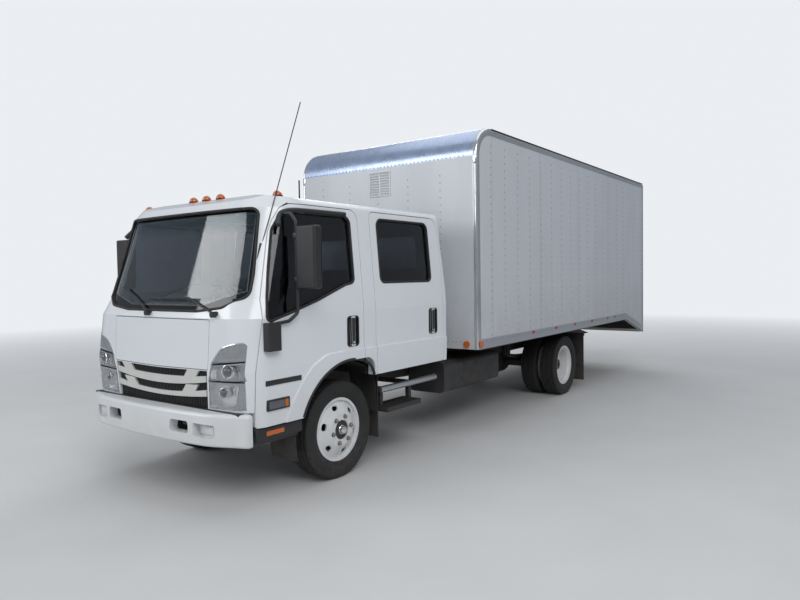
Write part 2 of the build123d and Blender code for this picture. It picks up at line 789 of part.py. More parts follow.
def make_leaf_springs():
    arc_rise = 110
    leaf_stack = 60
    eye_leaf = 14
    springs_at = [
        # axle, distance from the centre line, half length, width, height of the seat
        (front_axle_y, 399, 560, 60, 380),
        (rear_axle_y, 490, 620, 66, 470),
    ]
    with BuildPart() as springs:
        for y_axle, x_mid, half_length, width, seat_z in springs_at:
            end_z = seat_z + arc_rise
            leaf_top = end_z + eye_leaf
            y_from, y_to = y_axle - half_length, y_axle + half_length
            rail_z = frame_bottom if x_mid < frame_width / 2 else frame_top - 40
            for side in (-1, 1):
                x_from = side * x_mid - width / 2
                with BuildSketch(Plane((x_from, 0, 0), x_dir=(0, 1, 0), z_dir=(1, 0, 0))) as leaves:
                    with BuildLine():
                        ThreePointArc((y_from, end_z), (y_axle, seat_z), (y_to, end_z))
                        Line((y_to, end_z), (y_to, leaf_top))
                        ThreePointArc((y_to, leaf_top), (y_axle, seat_z + leaf_stack), (y_from, leaf_top))
                        Line((y_from, leaf_top), (y_from, end_z))
                    make_face()
                extrude(leaves.sketch, amount=width)
                # Hangers at both ends up to the rail
                for y in (y_from + 30, y_to - 30):
                    block(x_from, x_from + width, y - 35, y + 35, end_z - 15, rail_z)
    save(springs, "leaf_springs")


housing_radius = 180
housing_depth = 230


def make_rear_axle():
    with BuildPart() as axle:
        with Locations((0, rear_axle_y, axle_z)):
            Cylinder(60, 2 * 560, rotation=(0, 90, 0))
            Cylinder(spindle_radius, rear_track + 300, rotation=(0, 90, 0))
            Cylinder(housing_radius, housing_depth, rotation=(90, 0, 0))
        for x in (-490, 490):
            block(x - 50, x + 50, rear_axle_y - 70, rear_axle_y + 70, axle_z + 30, 470)
    save(axle, "rear_axle")


def make_driveline():
    with BuildPart() as engine:
        block(-290, 290, front_axle_y - 420, front_axle_y + 300, 470, 985)
        fillet(engine.edges().filter_by(Axis.Y), 40)
    save(engine, "engine_block")
    gearbox_end = front_axle_y + 980
    with BuildPart() as gearbox:
        block(-170, 170, front_axle_y + 300, gearbox_end, 490, 770)
        fillet(gearbox.edges().filter_by(Axis.Y), 40)
    save(gearbox, "gearbox")
    start, end = (0, gearbox_end, 560), (0, rear_axle_y - housing_depth / 2, 420)
    with BuildPart() as shaft:
        with BuildLine():
            Line(start, end)
        with BuildSketch(Plane(start, z_dir=(0, end[1] - start[1], end[2] - start[2]))):
            Circle(45)
        sweep()
        block(-200, 200, start[1], end[1], 300, 700, mode=Mode.INTERSECT)
    save(shaft, "drive_shaft")


def make_fuel_tank():
    with BuildPart() as tank:
        block(450, 900, front_axle_y + 1650, front_axle_y + 2850, 430, 760)
        fillet(tank.edges().filter_by(Axis.Y), 60)
        for y in (1900, 2600):
            block(frame_width / 2, 460, front_axle_y + y - 40, front_axle_y + y + 40, 560, 700)
    save(tank, "fuel_tank")


def make_exhaust():
    x = -650
    with BuildPart() as exhaust:
        with Locations((x, front_axle_y + 2200, 600)):
            Cylinder(130, 900, rotation=(90, 0, 0))
        with Locations((x, front_axle_y + 2900, 600)):
            Cylinder(45, 520, rotation=(90, 0, 0))
        for y in (1900, 2500):
            block(x + 90, -frame_width / 2, front_axle_y + y - 25, front_axle_y + y + 25, 600, 700)
    save(exhaust, "exhaust")


def make_side_steps():
    y = front_axle_y
    with BuildPart() as steps:
        for side in (-1, 1):
            # Step below the rear door, with a rail over it
            block(side * 780, side * 1000, y + 560, y + 1080, 445, 485)
            block(side * 900, side * 930, y + 560, y + 1450, 620, 660)
            for bracket_y in (600, 1040):
                y_from, y_to = y + bracket_y - 20, y + bracket_y + 20
                block(side * frame_width / 2, side * 900, y_from, y_to, 620, 660)
                block(side * 860, side * 900, y_from, y_to, 485, 640)
            # Entry step below the front door
            block(side * 700, side * 985, y - 955, y - 540, 480, footwell_z - floor_sheet)
            block(side * 860, side * 1000, y - 900, y - 600, 500, 575, mode=Mode.SUBTRACT)
    save(steps, "side_steps")


def make_mud_flaps():
    front_y = front_axle_y + 500
    rear_y = rear_axle_y + 560
    hanger_z = frame_top - 40
    with BuildPart() as flaps:
        for side in (-1, 1):
            block(side * 700, side * 930, front_y, front_y + 10, 230, cab_floor_rear_z - floor_sheet)
            block(side * 560, side * 1120, rear_y, rear_y + 12, 120, hanger_z)
            block(side * frame_width / 2, side * 1120, rear_y, rear_y + 40, hanger_z, frame_top)
    save(flaps, "mud_flaps")


def revolve_about_axle(points, centre_x, side, y):
    # Points are (distance outwards from the centre plane, radius)
    plane = Plane((centre_x, y, axle_z), x_dir=(side, 0, 0), z_dir=(0, -side, 0))
    with BuildSketch(plane) as section:
        with BuildLine():
            Polyline(*points, close=True)
        make_face()
    revolve(section.sketch, axis=Axis((centre_x, y, axle_z), (1, 0, 0)))


half_tyre_section = [
    (rim_half_width, rim_radius), (rim_half_width, flange_radius), (rim_half_width + 8, flange_radius + 1),
    (102, 288), (tyre_width / 2, 325), (110, 360), (98, 388), (70, tyre_radius - 2),
]
tyre_section = half_tyre_section + [(0, tyre_radius)] + [(-s, r) for s, r in reversed(half_tyre_section)]
bead_x = rim_half_width + bead_lip
barrel_section = [
    (-bead_x, flange_radius), (-rim_half_width, flange_radius), (-rim_half_width, rim_radius),
    (rim_half_width, rim_radius), (rim_half_width, flange_radius), (bead_x, flange_radius),
    (bead_x, 240), (60, 236), (40, 226), (-60, 226), (-bead_x, 240),
]
disc_section = [
    # distance inwards from the hub face, radius
    (0, hub_bore_radius), (0, 130), (5, 143), (39, 206), (60, disc_radius),
    (60 + disc_thickness, disc_radius), (39 + disc_thickness, 206), (7 + disc_thickness, 143),
    (disc_thickness, 130), (disc_thickness, hub_bore_radius),
]


def make_wheel(discs, side, y, hub_from, hub_to, name):
    with BuildPart() as rims:
        for centre_x, face in discs:
            revolve_about_axle(barrel_section, centre_x, side, y)
            direction = 1 if face > 0 else -1
            disc = [(face - direction * depth, radius) for depth, radius in disc_section]
            revolve_about_axle(disc, centre_x, side, y)
            hole_plane = Plane((centre_x - flange_radius, y, axle_z), x_dir=(0, 1, 0), z_dir=(1, 0, 0))
            with BuildSketch(hole_plane) as holes:
                with PolarLocations(hand_hole_radius, hand_holes, start_angle=45):
                    SlotOverall(62, 40, rotation=90)
            extrude(holes.sketch, amount=2 * flange_radius, mode=Mode.SUBTRACT)
        hub_x = side * (hub_from + hub_to) / 2
        hub_length = hub_to - hub_from
        with Locations((hub_x, y, axle_z)):
            Cylinder(hub_radius, hub_length, rotation=(0, 90, 0))
        for centre_x, face in discs:
            direction = 1 if face > 0 else -1
            flange_x = centre_x + side * (face - 1.5 * direction * disc_thickness)
            with Locations((flange_x, y, axle_z)):
                Cylinder(hub_flange_radius, disc_thickness, rotation=(0, 90, 0))
        with Locations((hub_x, y, axle_z)):
            bore_radius = spindle_radius + running_clearance
            Cylinder(bore_radius, 2 * hub_length, rotation=(0, 90, 0), mode=Mode.SUBTRACT)
    save(rims, f"rim_{name}")
    with BuildPart() as tyres:
        for centre_x, face in discs:
            revolve_about_axle(tyre_section, centre_x, side, y)
    save(tyres, f"tyre_{name}")


def make_wheels():
    inner_x = (rear_track - dual_spacing) / 2
    outer_x = (rear_track + dual_spacing) / 2
    front_x = front_track / 2
    front_hub_to = front_x + front_disc_face - disc_thickness
    for side, hand in ((1, "left"), (-1, "right")):
        front = [(side * front_x, front_disc_face)]
        make_wheel(front, side, front_axle_y, kingpin_x + 75, front_hub_to, f"front_{hand}")
        rear = [(side * inner_x, rear_disc_face), (side * outer_x, -rear_disc_face)]
        make_wheel(rear, side, rear_axle_y, inner_x - 90, outer_x - 20, f"rear_{hand}")


# The top of the load floor, as (distance behind the front axle, height)
floor_line = [
    (body_front_y + body_wall - front_axle_y, floor_top), (kink_y - front_axle_y, floor_top),
    (body_rear_y - front_axle_y, tail_floor_top),
]
tail_slope = tail_drop / tail_length


def make_load_floor():
    with BuildPart() as floor:
        lower = [(y, z - floor_thickness) for y, z in reversed(floor_line)]
        side_prism(floor_line + lower, -body_inner_half, body_inner_half)
        portal_front = body_rear_y - portal_depth
        block(-body_inner_half, body_inner_half, portal_front, body_rear_y, 0, floor_top, mode=Mode.SUBTRACT)
    save(floor, "load_floor")
    half_beam = crossbeam_width / 2
    with BuildPart() as beams:
        first_y = body_front_y + body_wall + half_beam
        pitch = (kink_y - half_beam - first_y) / (crossbeams - 1)
        for i in range(crossbeams):
            y = first_y + i * pitch
            under_floor = floor_top - floor_thickness
            block(
                -body_inner_half, body_inner_half, y - half_beam, y + half_beam,
                under_floor - crossbeam_height, under_floor,
            )
        for i in (1, 2, 3):
            distance = i * tail_length / 4
            y = kink_y - front_axle_y + distance
            high, low = (
                floor_top - floor_thickness - (distance - half_beam) * tail_slope,
                floor_top - floor_thickness - (distance + half_beam) * tail_slope,
            )
            side_prism(
                [(y - half_beam, high), (y + half_beam, low), (y + half_beam, low - crossbeam_height),
                 (y - half_beam, low - crossbeam_height)],
                -body_inner_half, body_inner_half,
            )
    save(beams, "floor_beams")
    with BuildPart() as sills:
        outer_x = frame_width / 2
        for side in (-1, 1):
            block(
                side * (outer_x - rail_flange), side * outer_x, body_front_y + body_wall, kink_y - 110,
                frame_top, body_rail_bottom,
            )
    save(sills, "body_sills")


def wall_outline(front=0, top=0, rear=0, bottom=0):
    # The side of the load body, drawn in by a margin on each edge
    front_y, rear_y = body_front_y + front, body_rear_y - rear
    rail_line = body_rail_bottom + bottom
    tail_line = rail_line - (rear_y - kink_y) * tail_slope
    with BuildSketch(Plane.YZ) as outline:
        with BuildLine():
            Polyline(
                (front_y, rail_line), (kink_y, rail_line), (rear_y, tail_line),
                (rear_y, body_roof_top - top), (front_y, body_roof_top - top), close=True,
            )
        make_face()
        nose = outline.vertices().sort_by_distance((front_y, body_roof_top - top, 0))[0]
        fillet(nose, body_nose_radius - max(front, top))
    return outline.sketch


def make_box():
    panel = wall_outline(body_post_width, body_top_rail_height, body_post_width, body_rail_height)
    at_inner = Location((body_inner_half, 0, 0))
    with BuildPart() as sheets:
        extrude(panel.moved(at_inner), amount=body_wall - body_rail_step)
        mirror(about=Plane.YZ)
    save(sheets, "box_sides")
    with BuildPart() as rails:
        extrude(wall_outline().moved(at_inner), amount=body_wall)
        outer_face = rails.faces().sort_by(Axis.X)[-1]
        long_edges = [edge for edge in outer_face.edges() if edge.center().Z > body_rail_bottom + 10]
        fillet([edge for edge in long_edges if edge.center().Y < body_rear_y - 1], body_corner_radius)
        extrude(panel.moved(at_inner), amount=body_wall, mode=Mode.SUBTRACT)
        mirror(about=Plane.YZ)
    save(rails, "box_rails")
    nose_end = body_front_y + body_nose_radius
    half = body_inner_half
    across = Location((-half, 0, 0))
    # Louvred vent in the front wall, as (x, height) of its corners
    vent_left, vent_right, vent_low, vent_high = -170, 130, 2545, 2825
    louvres = 9
    louvre_pitch = (vent_high - vent_low - 20) / louvres
    with BuildPart() as front:
        extrude(wall_outline().moved(across), amount=2 * half)
        inner = wall_outline(body_wall, body_wall, body_wall, 0)
        extrude(inner.moved(across), amount=2 * half, mode=Mode.SUBTRACT)
        block(-half, half, body_front_y, nose_end, body_rail_bottom, body_roof_top, mode=Mode.INTERSECT)
        block(vent_left, vent_right, body_front_y - 5, body_front_y + 10, vent_low, vent_high)
        for i in range(louvres):
            z = vent_low + 10 + (i + 0.5) * louvre_pitch
            for x_from, x_to in ((vent_left + 12, -30), (-10, vent_right - 12)):
                block(x_from, x_to, body_front_y - 20, body_front_y + 80, z - 7, z + 7, mode=Mode.SUBTRACT)
    save(front, "box_front")
    with BuildPart() as roof:
        block(-half, half, nose_end, body_rear_y, body_roof_top - body_wall, body_roof_top)
    save(roof, "box_roof")


def make_rear_portal():
    half = body_inner_half
    y_from = body_rear_y - portal_depth
    opening_half = half - portal_post_width
    header_low = body_roof_top - portal_header_height
    y = body_rear_y - front_axle_y
    sill_slope = [
        (y - portal_depth, tail_floor_top + portal_depth * tail_slope), (y, tail_floor_top),
        (y, header_low), (y - portal_depth, header_low),
    ]
    hinge_z = tail_floor_top + ramp_hinge_rise
    knuckle_length = 110
    knuckle_front = body_rear_y - hinge_radius
    fixed_knuckles = [-900, -300, 300, 900]
    portal_foot = tail_floor_top - portal_sill_height
    with BuildPart() as portal:
        block(-half, half, y_from, body_rear_y, portal_foot, body_roof_top - body_wall)
        side_prism(sill_slope, -opening_half, opening_half, mode=Mode.SUBTRACT)
        for x in fixed_knuckles:
            x_from, x_to = x - knuckle_length / 2, x + knuckle_length / 2
            block(x_from, x_to, knuckle_front, body_rear_y, tail_floor_top - 5, hinge_z)
            with Locations((x, body_rear_y, hinge_z)):
                Cylinder(hinge_radius, knuckle_length, rotation=(0, 90, 0))
    save(portal, "rear_portal")
    door_half = opening_half - ramp_clearance
    door_low = hinge_z + hinge_radius + 5
    with BuildPart() as ramp:
        block(
            -door_half, door_half, body_rear_y - ramp_thickness, body_rear_y,
            door_low, header_low - ramp_clearance,
        )
        for x in fixed_knuckles:
            direction = -1 if x > 0 else 1
            x_mid = x + direction * (knuckle_length + 1)
            x_from, x_to = x_mid - knuckle_length / 2, x_mid + knuckle_length / 2
            block(x_from, x_to, knuckle_front, body_rear_y, hinge_z, door_low + 5)
            with Locations((x_mid, body_rear_y, hinge_z)):
                Cylinder(hinge_radius, knuckle_length, rotation=(0, 90, 0))
    save(ramp, "ramp_door")


def make_lamps():
    roof_lamps = [
        # x, distance behind the front axle, top
        (-832, -545, 2292), (-176, -550, 2326), (0, -552, 2329), (176, -550, 2326), (832, -545, 2292),
    ]
    with BuildPart() as markers:
        for x, y, top in roof_lamps:
            with Locations((x, front_axle_y + y, top - 60)):
                dome = Cylinder(lamp_radius, 120)
            fillet(dome.edges().sort_by(Axis.Z)[-1], lamp_rounding)
        add(cab_shell, mode=Mode.SUBTRACT)
        block(-1000, 1000, front_axle_y - 700, front_axle_y - 400, roof_seam_z, 2400, mode=Mode.INTERSECT)
        rail_mid = body_rail_bottom + body_rail_height / 2
        for side in (-1, 1):
            with Locations((side * (body_half_width + lamp_depth / 2), body_front_y + 48, rail_mid)):
                Cylinder(lamp_radius, lamp_depth, rotation=(0, 90, 0))
            with Locations((side * (body_half_width - 134), body_front_y - lamp_depth / 2, rail_mid)):
                Cylinder(lamp_radius, lamp_depth, rotation=(90, 0, 0))
    save(markers, "marker_lamps")
    post_x = body_inner_half - portal_post_width / 2
    header_z = body_roof_top - body_wall - portal_header_height / 2 + 10
    rear_lamps = [
        # x, height, radius
        (post_x, 1000, 42), (-post_x, 1000, 42), (post_x, 1120, 42), (-post_x, 1120, 42),
        (-150, header_z, 22), (0, header_z, 22), (150, header_z, 22),
        (post_x, header_z, 22), (-post_x, header_z, 22),
    ]
    with BuildPart() as tail:
        for x, z, radius in rear_lamps:
            with Locations((x, body_rear_y + lamp_depth / 2, z)):
                Cylinder(radius, lamp_depth, rotation=(90, 0, 0))
    save(tail, "tail_lamps")


make_front_axle()
make_knuckles()
make_leaf_springs()
make_rear_axle()
make_driveline()
make_fuel_tank()
make_exhaust()
make_side_steps()
make_mud_flaps()
make_wheels()
make_load_floor()
make_box()
make_rear_portal()
make_cab_floor()
make_cab_sides()
make_cab_front()
make_cab_back()
make_cab_roof()
make_cab_glass()
make_service_lid()
make_grille()
make_headlamps()
make_front_bumper()
make_doors()
make_mirrors()
make_seats()
make_dashboard()
make_wipers()
make_antenna()
make_lamps()
make_chassis_frame()
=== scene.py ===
import math
import bpy
from mathutils import Matrix, Vector


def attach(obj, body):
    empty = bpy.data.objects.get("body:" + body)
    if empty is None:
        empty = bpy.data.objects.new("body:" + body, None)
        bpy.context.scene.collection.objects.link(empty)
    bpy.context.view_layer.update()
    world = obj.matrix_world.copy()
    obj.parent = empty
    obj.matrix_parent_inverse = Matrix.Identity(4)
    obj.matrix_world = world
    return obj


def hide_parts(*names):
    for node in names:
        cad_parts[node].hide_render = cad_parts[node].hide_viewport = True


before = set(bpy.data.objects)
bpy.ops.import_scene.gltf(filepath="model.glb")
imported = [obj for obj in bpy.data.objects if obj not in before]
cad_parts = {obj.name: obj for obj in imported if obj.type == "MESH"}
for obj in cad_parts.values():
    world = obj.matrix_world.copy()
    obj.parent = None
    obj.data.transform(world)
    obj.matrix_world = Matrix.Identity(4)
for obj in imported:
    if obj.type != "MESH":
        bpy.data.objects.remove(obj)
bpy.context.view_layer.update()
print("stage: frame loaded,", len(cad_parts), "nodes")

# Stations in metres, the same frame as the CAD
frontAxleY = -3.2415
rearAxleY = frontAxleY + 4.47
boxFrontY = frontAxleY + 1.81
kinkY = boxFrontY + 4.877
boxRearY = kinkY + 0.97
boxHalf = 1.219
boxTopZ = 3.18
axleZ = 0.4

# Height, half width and front line of the cab
cabSections = [
    (0.555, 1.005, 0.03), (1.0, 1.03, 0.0), (1.37, 1.033, 0.02),
    (1.51, 1.025, 0.08), (2.18, 0.97, 0.275), (2.36, 0.944, 0.44),
]


def cabSection(z):
    # Half width and front line of the cab at a height
    for (lowZ, *low), (highZ, *high) in zip(cabSections, cabSections[1:]):
        if z <= highZ:
            break
    return [a + (b - a) * (z - lowZ) / (highZ - lowZ) for a, b in zip(low, high)]


def landing(node, start, direction):
    # Where a line from start meets a CAD node
    hit, spot, normal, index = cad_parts[node].ray_cast(Vector(start), Vector(direction))
    return spot if hit else None


def only(piece):
    # Makes a piece the only one selected
    if bpy.context.object and bpy.context.object.mode != "OBJECT":
        bpy.ops.object.mode_set(mode="OBJECT")
    bpy.ops.object.select_all(action="DESELECT")
    piece.select_set(True)
    bpy.context.view_layer.objects.active = piece


def editAll(piece, kind="FACE", action="SELECT"):
    only(piece)
    bpy.ops.object.mode_set(mode="EDIT")
    bpy.ops.mesh.select_mode(type=kind)
    bpy.ops.mesh.select_all(action=action)


def leaveEdit():
    bpy.ops.object.mode_set(mode="OBJECT")


def editFaces(piece, test):
    # Edit mode with only the faces picked whose centre and normal pass the test
    editAll(piece, action="DESELECT")
    leaveEdit()
    for face in piece.data.polygons:
        face.select = test(face.center, face.normal)
    bpy.ops.object.mode_set(mode="EDIT")


def applyPlace(piece):
    only(piece)
    bpy.ops.object.transform_apply(location=True, rotation=True, scale=True)


def fresh():
    # What the last operator made, with its place applied
    piece = bpy.context.object
    applyPlace(piece)
    return piece


def bevelled(piece, offset, segments=2):
    # Rounds all edges
    editAll(piece, "EDGE")
    bpy.ops.mesh.bevel(offset=offset, segments=segments)
    leaveEdit()
    return piece


def thickened(piece, thickness, offset=-1):
    only(piece)
    solid = piece.modifiers.new("solid", "SOLIDIFY")
    solid.thickness = thickness
    solid.offset = offset
    bpy.ops.object.modifier_apply(modifier=solid.name)
    return piece


def roundedBlock(low, high, edge=0.004, steps=2):
    # A block between two corners with rounded edges
    size = [abs(b - a) for a, b in zip(low, high)]
    middle = [(a + b) / 2 for a, b in zip(low, high)]
    bpy.ops.mesh.primitive_cube_add(size=1, location=middle, scale=size)
    return bevelled(fresh(), min(edge, min(size) * 0.45), steps)


def cabBlock(low, high, edge=0.004, steps=2):
    # The same with Y counted from the front axle
    low, high = ((x, frontAxleY + y, z) for x, y, z in (low, high))
    return roundedBlock(low, high, edge, steps)


def roundBar(middle, radius, length, axis="X", edge=0.003, sides=24, steps=2):
    # A short cylinder with rounded rims
    turn = {"X": (0, math.pi / 2, 0), "Y": (math.pi / 2, 0, 0), "Z": (0, 0, 0)}[axis]
    bpy.ops.mesh.primitive_cylinder_add(
        vertices=sides, radius=radius, depth=length, location=middle, rotation=turn)
    piece = fresh()
    along = "XYZ".index(axis)
    editFaces(piece, lambda centre, normal: abs(normal[along]) > 0.9)
    bpy.ops.mesh.bevel(offset=min(edge, length * 0.45, radius * 0.45), segments=steps)
    leaveEdit()
    return piece


def outlined(points, fill="NGON"):
    # A single face, or an open loop, through the points
    bpy.ops.mesh.primitive_circle_add(vertices=len(points), radius=1, fill_type=fill)
    piece = bpy.context.object
    for vertex, point in zip(piece.data.vertices, points):
        vertex.co = point
    return piece


def pushOut(depth):
    # Extrudes what is selected in edit mode and turns the faces outwards
    bpy.ops.mesh.extrude_region_move(TRANSFORM_OT_translate={"value": depth})
    bpy.ops.mesh.select_all(action="SELECT")
    bpy.ops.mesh.normals_make_consistent(inside=False)
    leaveEdit()


def turned(profile, centre, steps=48):
    # Spins a section, given as (distance outwards, radius), about a line along X
    piece = outlined(
        [(centre[0] + along, centre[1], centre[2] + radius) for along, radius in profile], "NOTHING")
    editAll(piece, "VERT")
    bpy.ops.mesh.spin(steps=steps, angle=2 * math.pi, center=centre, axis=(1, 0, 0))
    bpy.ops.mesh.select_all(action="SELECT")
    bpy.ops.mesh.remove_doubles(threshold=0.00002)
    bpy.ops.mesh.normals_make_consistent(inside=False)
    leaveEdit()
    return piece


def panel(points, depth):
    # A filled outline pushed along a direction
    piece = outlined(points)
    editAll(piece)
    pushOut(depth)
    return piece


def ringFrame(points, width, depth, edge):
    # An open frame along an outline, as a seal or a bezel
    piece = outlined(points)
    editAll(piece)
    bpy.ops.mesh.inset(thickness=width, use_even_offset=True)
    bpy.ops.mesh.delete(type="FACE")
    bpy.ops.mesh.select_all(action="SELECT")
    pushOut(depth)
    away = Vector(depth).normalized()
    editFaces(piece, lambda centre, normal: abs(normal.dot(away)) > 0.8)
    bpy.ops.mesh.bevel(offset=edge, segments=2)
    leaveEdit()
    return piece


def band(points, depth, thickness):
    # A strip that follows a closed path and runs inwards by depth
    piece = outlined(points, "NOTHING")
    editAll(piece, "EDGE")
    bpy.ops.mesh.extrude_region_move(TRANSFORM_OT_translate={"value": depth})
    leaveEdit()
    thickened(piece, thickness, 0)
    editAll(piece)
    bpy.ops.mesh.normals_make_consistent(inside=False)
    leaveEdit()
    return piece


def gridSheet(columns, rows, place):
    # A sheet of cells; place turns the shares along its two sides into a point
    bpy.ops.mesh.primitive_grid_add(x_subdivisions=columns, y_subdivisions=rows, size=1)
    piece = bpy.context.object
    for vertex in piece.data.vertices:
        vertex.co = place(vertex.co.x + 0.5, vertex.co.y + 0.5)
    return piece


def tubeAlong(points, radius, smooth=0, loop=False, sides=3):
    # A round bar along a path, made with a curve and turned into a mesh
    bpy.ops.curve.primitive_nurbs_path_add(radius=1)
    line = bpy.context.object
    shape = line.data
    shape.splines.clear()
    spline = shape.splines.new("NURBS" if smooth else "POLY")
    spline.points.add(len(points) - 1)
    for spot, point in zip(spline.points, points):
        spot.co = (*point, 1)
    spline.use_cyclic_u = loop
    if smooth:
        spline.order_u = 3
        spline.use_endpoint_u = not loop
        spline.resolution_u = smooth
    shape.bevel_depth = radius
    shape.bevel_resolution = sides
    shape.use_fill_caps = True
    only(line)
    bpy.ops.object.convert(target="MESH")
    return bpy.context.object


def softCorners(points, steps=5):
    # Rounds the corners of an outline given as (across, height, radius)
    outline = []
    for index, (a, b, *radius) in enumerate(points):
        before = Vector(points[index - 1][:2])
        after = Vector(points[(index + 1) % len(points)][:2])
        corner = Vector((a, b))
        if not radius:
            outline.append((a, b))
            continue
        inward, outward = (before - corner).normalized(), (after - corner).normalized()
        half = inward.angle(outward) / 2
        longest = min((before - corner).length, (after - corner).length) * 0.5
        reach = min(radius[0] / math.tan(half), longest)
        middle = corner + (inward + outward).normalized() * (reach / math.cos(half))
        start, end = corner + inward * reach - middle, corner + outward * reach - middle
        for step in range(steps + 1):
            spot = middle + start.lerp(end, step / steps).normalized() * start.length
            outline.append((spot.x, spot.y))
    return outline


def stacked(piece, count, offset):
    # Repeats a piece in a row
    only(piece)
    row = piece.modifiers.new("row", "ARRAY")
    row.count = count
    row.use_relative_offset = False
    row.use_constant_offset = True
    row.constant_offset_displace = offset
    bpy.ops.object.modifier_apply(modifier=row.name)
    return piece


def joined(pieces):
    only(pieces[0])
    for piece in pieces:
        piece.select_set(True)
    bpy.ops.object.join()
    return bpy.context.object


def copied(piece, change):
    # A second piece whose mesh is changed by a matrix
    twin = piece.copy()
    twin.data = piece.data.copy()
    bpy.context.scene.collection.objects.link(twin)
    twin.data.transform(change)
    return twin


def settle(piece, name, look, body="truck", angle=32):
    # Names a finished piece and gives it its body, slot and material
    applyPlace(piece)
    bpy.ops.object.shade_smooth_by_angle(angle=math.radians(angle))
    piece.name = name
    piece.data.name = name
    piece.data.materials.clear()
    piece.data.materials.append(finish[look])
    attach(piece, body)
    return piece


def settlePair(piece, name, look, body="truck"):
    # A left piece and its mirror image; a body name ends with its side where it has one
    twin = copied(piece, Matrix.Scale(-1, 4, (1, 0, 0)))
    editAll(twin)
    bpy.ops.mesh.flip_normals()
    leaveEdit()
    return [
        settle(half, name + side, look, body + side.lower() if body.endswith("_") else body)
        for half, side in ((piece, "Left"), (twin, "Right"))
    ]


def plug(node, values):
    # Feeds the inputs of a node with plain values or with the outputs of other nodes
    for key, value in values.items():
        socket = node.inputs[key]
        if isinstance(value, bpy.types.NodeSocket):
            node.id_data.links.new(value, socket)
        else:
            socket.default_value = (*value, 1) if socket.type == "RGBA" else value


def addNode(tree, kind, values, **settings):
    node = tree.nodes.new("ShaderNode" + kind)
    for key, value in settings.items():
        setattr(node, key, value)
    plug(node, values)
    return node


def noiseAt(place, scale, detail=4.0, rough=0.55, stretch=None):
    if stretch:
        place = addNode(place.id_data, "Mapping", {"Vector": place, "Scale": stretch}).outputs["Vector"]
    values = {"Vector": place, "Scale": scale, "Detail": detail, "Roughness": rough}
    return addNode(place.id_data, "TexNoise", values).outputs["Fac"]


def waveAt(place, direction, scale, distortion=0.0):
    values = {"Vector": place, "Scale": scale, "Distortion": distortion}
    return addNode(place.id_data, "TexWave", values, bands_direction=direction).outputs["Fac"]


def spread(value, low, high, fromLow=0.3, fromHigh=0.7):
    values = {"Value": value, "From Min": fromLow, "From Max": fromHigh, "To Min": low, "To Max": high}
    return addNode(value.id_data, "MapRange", values).outputs["Result"]


def mixColours(share, first, second):
    values = {0: share, 6: first, 7: second}
    return addNode(share.id_data, "Mix", values, data_type="RGBA").outputs[2]


def maths(operation, *values):
    return addNode(values[0].id_data, "Math", dict(enumerate(values)), operation=operation).outputs[0]


def bumpFrom(height, strength, distance, under=None):
    values = {"Height": height, "Strength": strength, "Distance": distance}
    if under:
        values["Normal"] = under
    return addNode(height.id_data, "Bump", values).outputs["Normal"]


def axisOf(place, axis):
    return addNode(place.id_data, "SeparateXYZ", {0: place}).outputs["XYZ".index(axis)]


finish = {}


def startFinish(name):
    # A blank material: its shader and the coordinates of the object
    material = finish[name] = bpy.data.materials.new(name)
    material.use_nodes = True
    tree = material.node_tree
    place = addNode(tree, "TexCoord", {}).outputs["Object"]
    return tree.nodes["Principled BSDF"], place


def workedFinish(name, look):
    # The everyday finish: stained colour, dust near the ground, uneven gloss, fine bump
    shader, place = startFinish(name)
    stain, scale, share = look["stain"]
    stains = noiseAt(place, scale, 6, 0.6, look.get("stretch"))
    colour = mixColours(spread(stains, 0, share), look["colour"], stain)
    if "dust" in look:
        dust, share, low, high = look["dust"]
        height = spread(axisOf(place, "Z"), share, 0, low, high)
        cloud = spread(noiseAt(place, 7.0, 5), 0.35, 1.0)
        colour = mixColours(maths("MULTIPLY", height, cloud), colour, dust)
    gloss = noiseAt(place, 9.0, 5, 0.6, look.get("stretch"))
    scale, strength, depth = look["grain"]
    normal = bumpFrom(noiseAt(place, scale, 2, 0.5, look.get("grainStretch")), strength, depth)
    if "wave" in look:
        # Broad unevenness of a pressed or stretched sheet
        scale, depth = look["wave"]
        normal = bumpFrom(noiseAt(place, scale, 1, 0.4), 0.25, depth, normal)
    plug(shader, {
        "Base Color": colour, "Roughness": spread(gloss, *look["rough"]), "Normal": normal,
        "Metallic": look.get("metal", 0.0), "Coat Weight": look.get("coat", 0.0), "Coat Roughness": 0.06,
    })


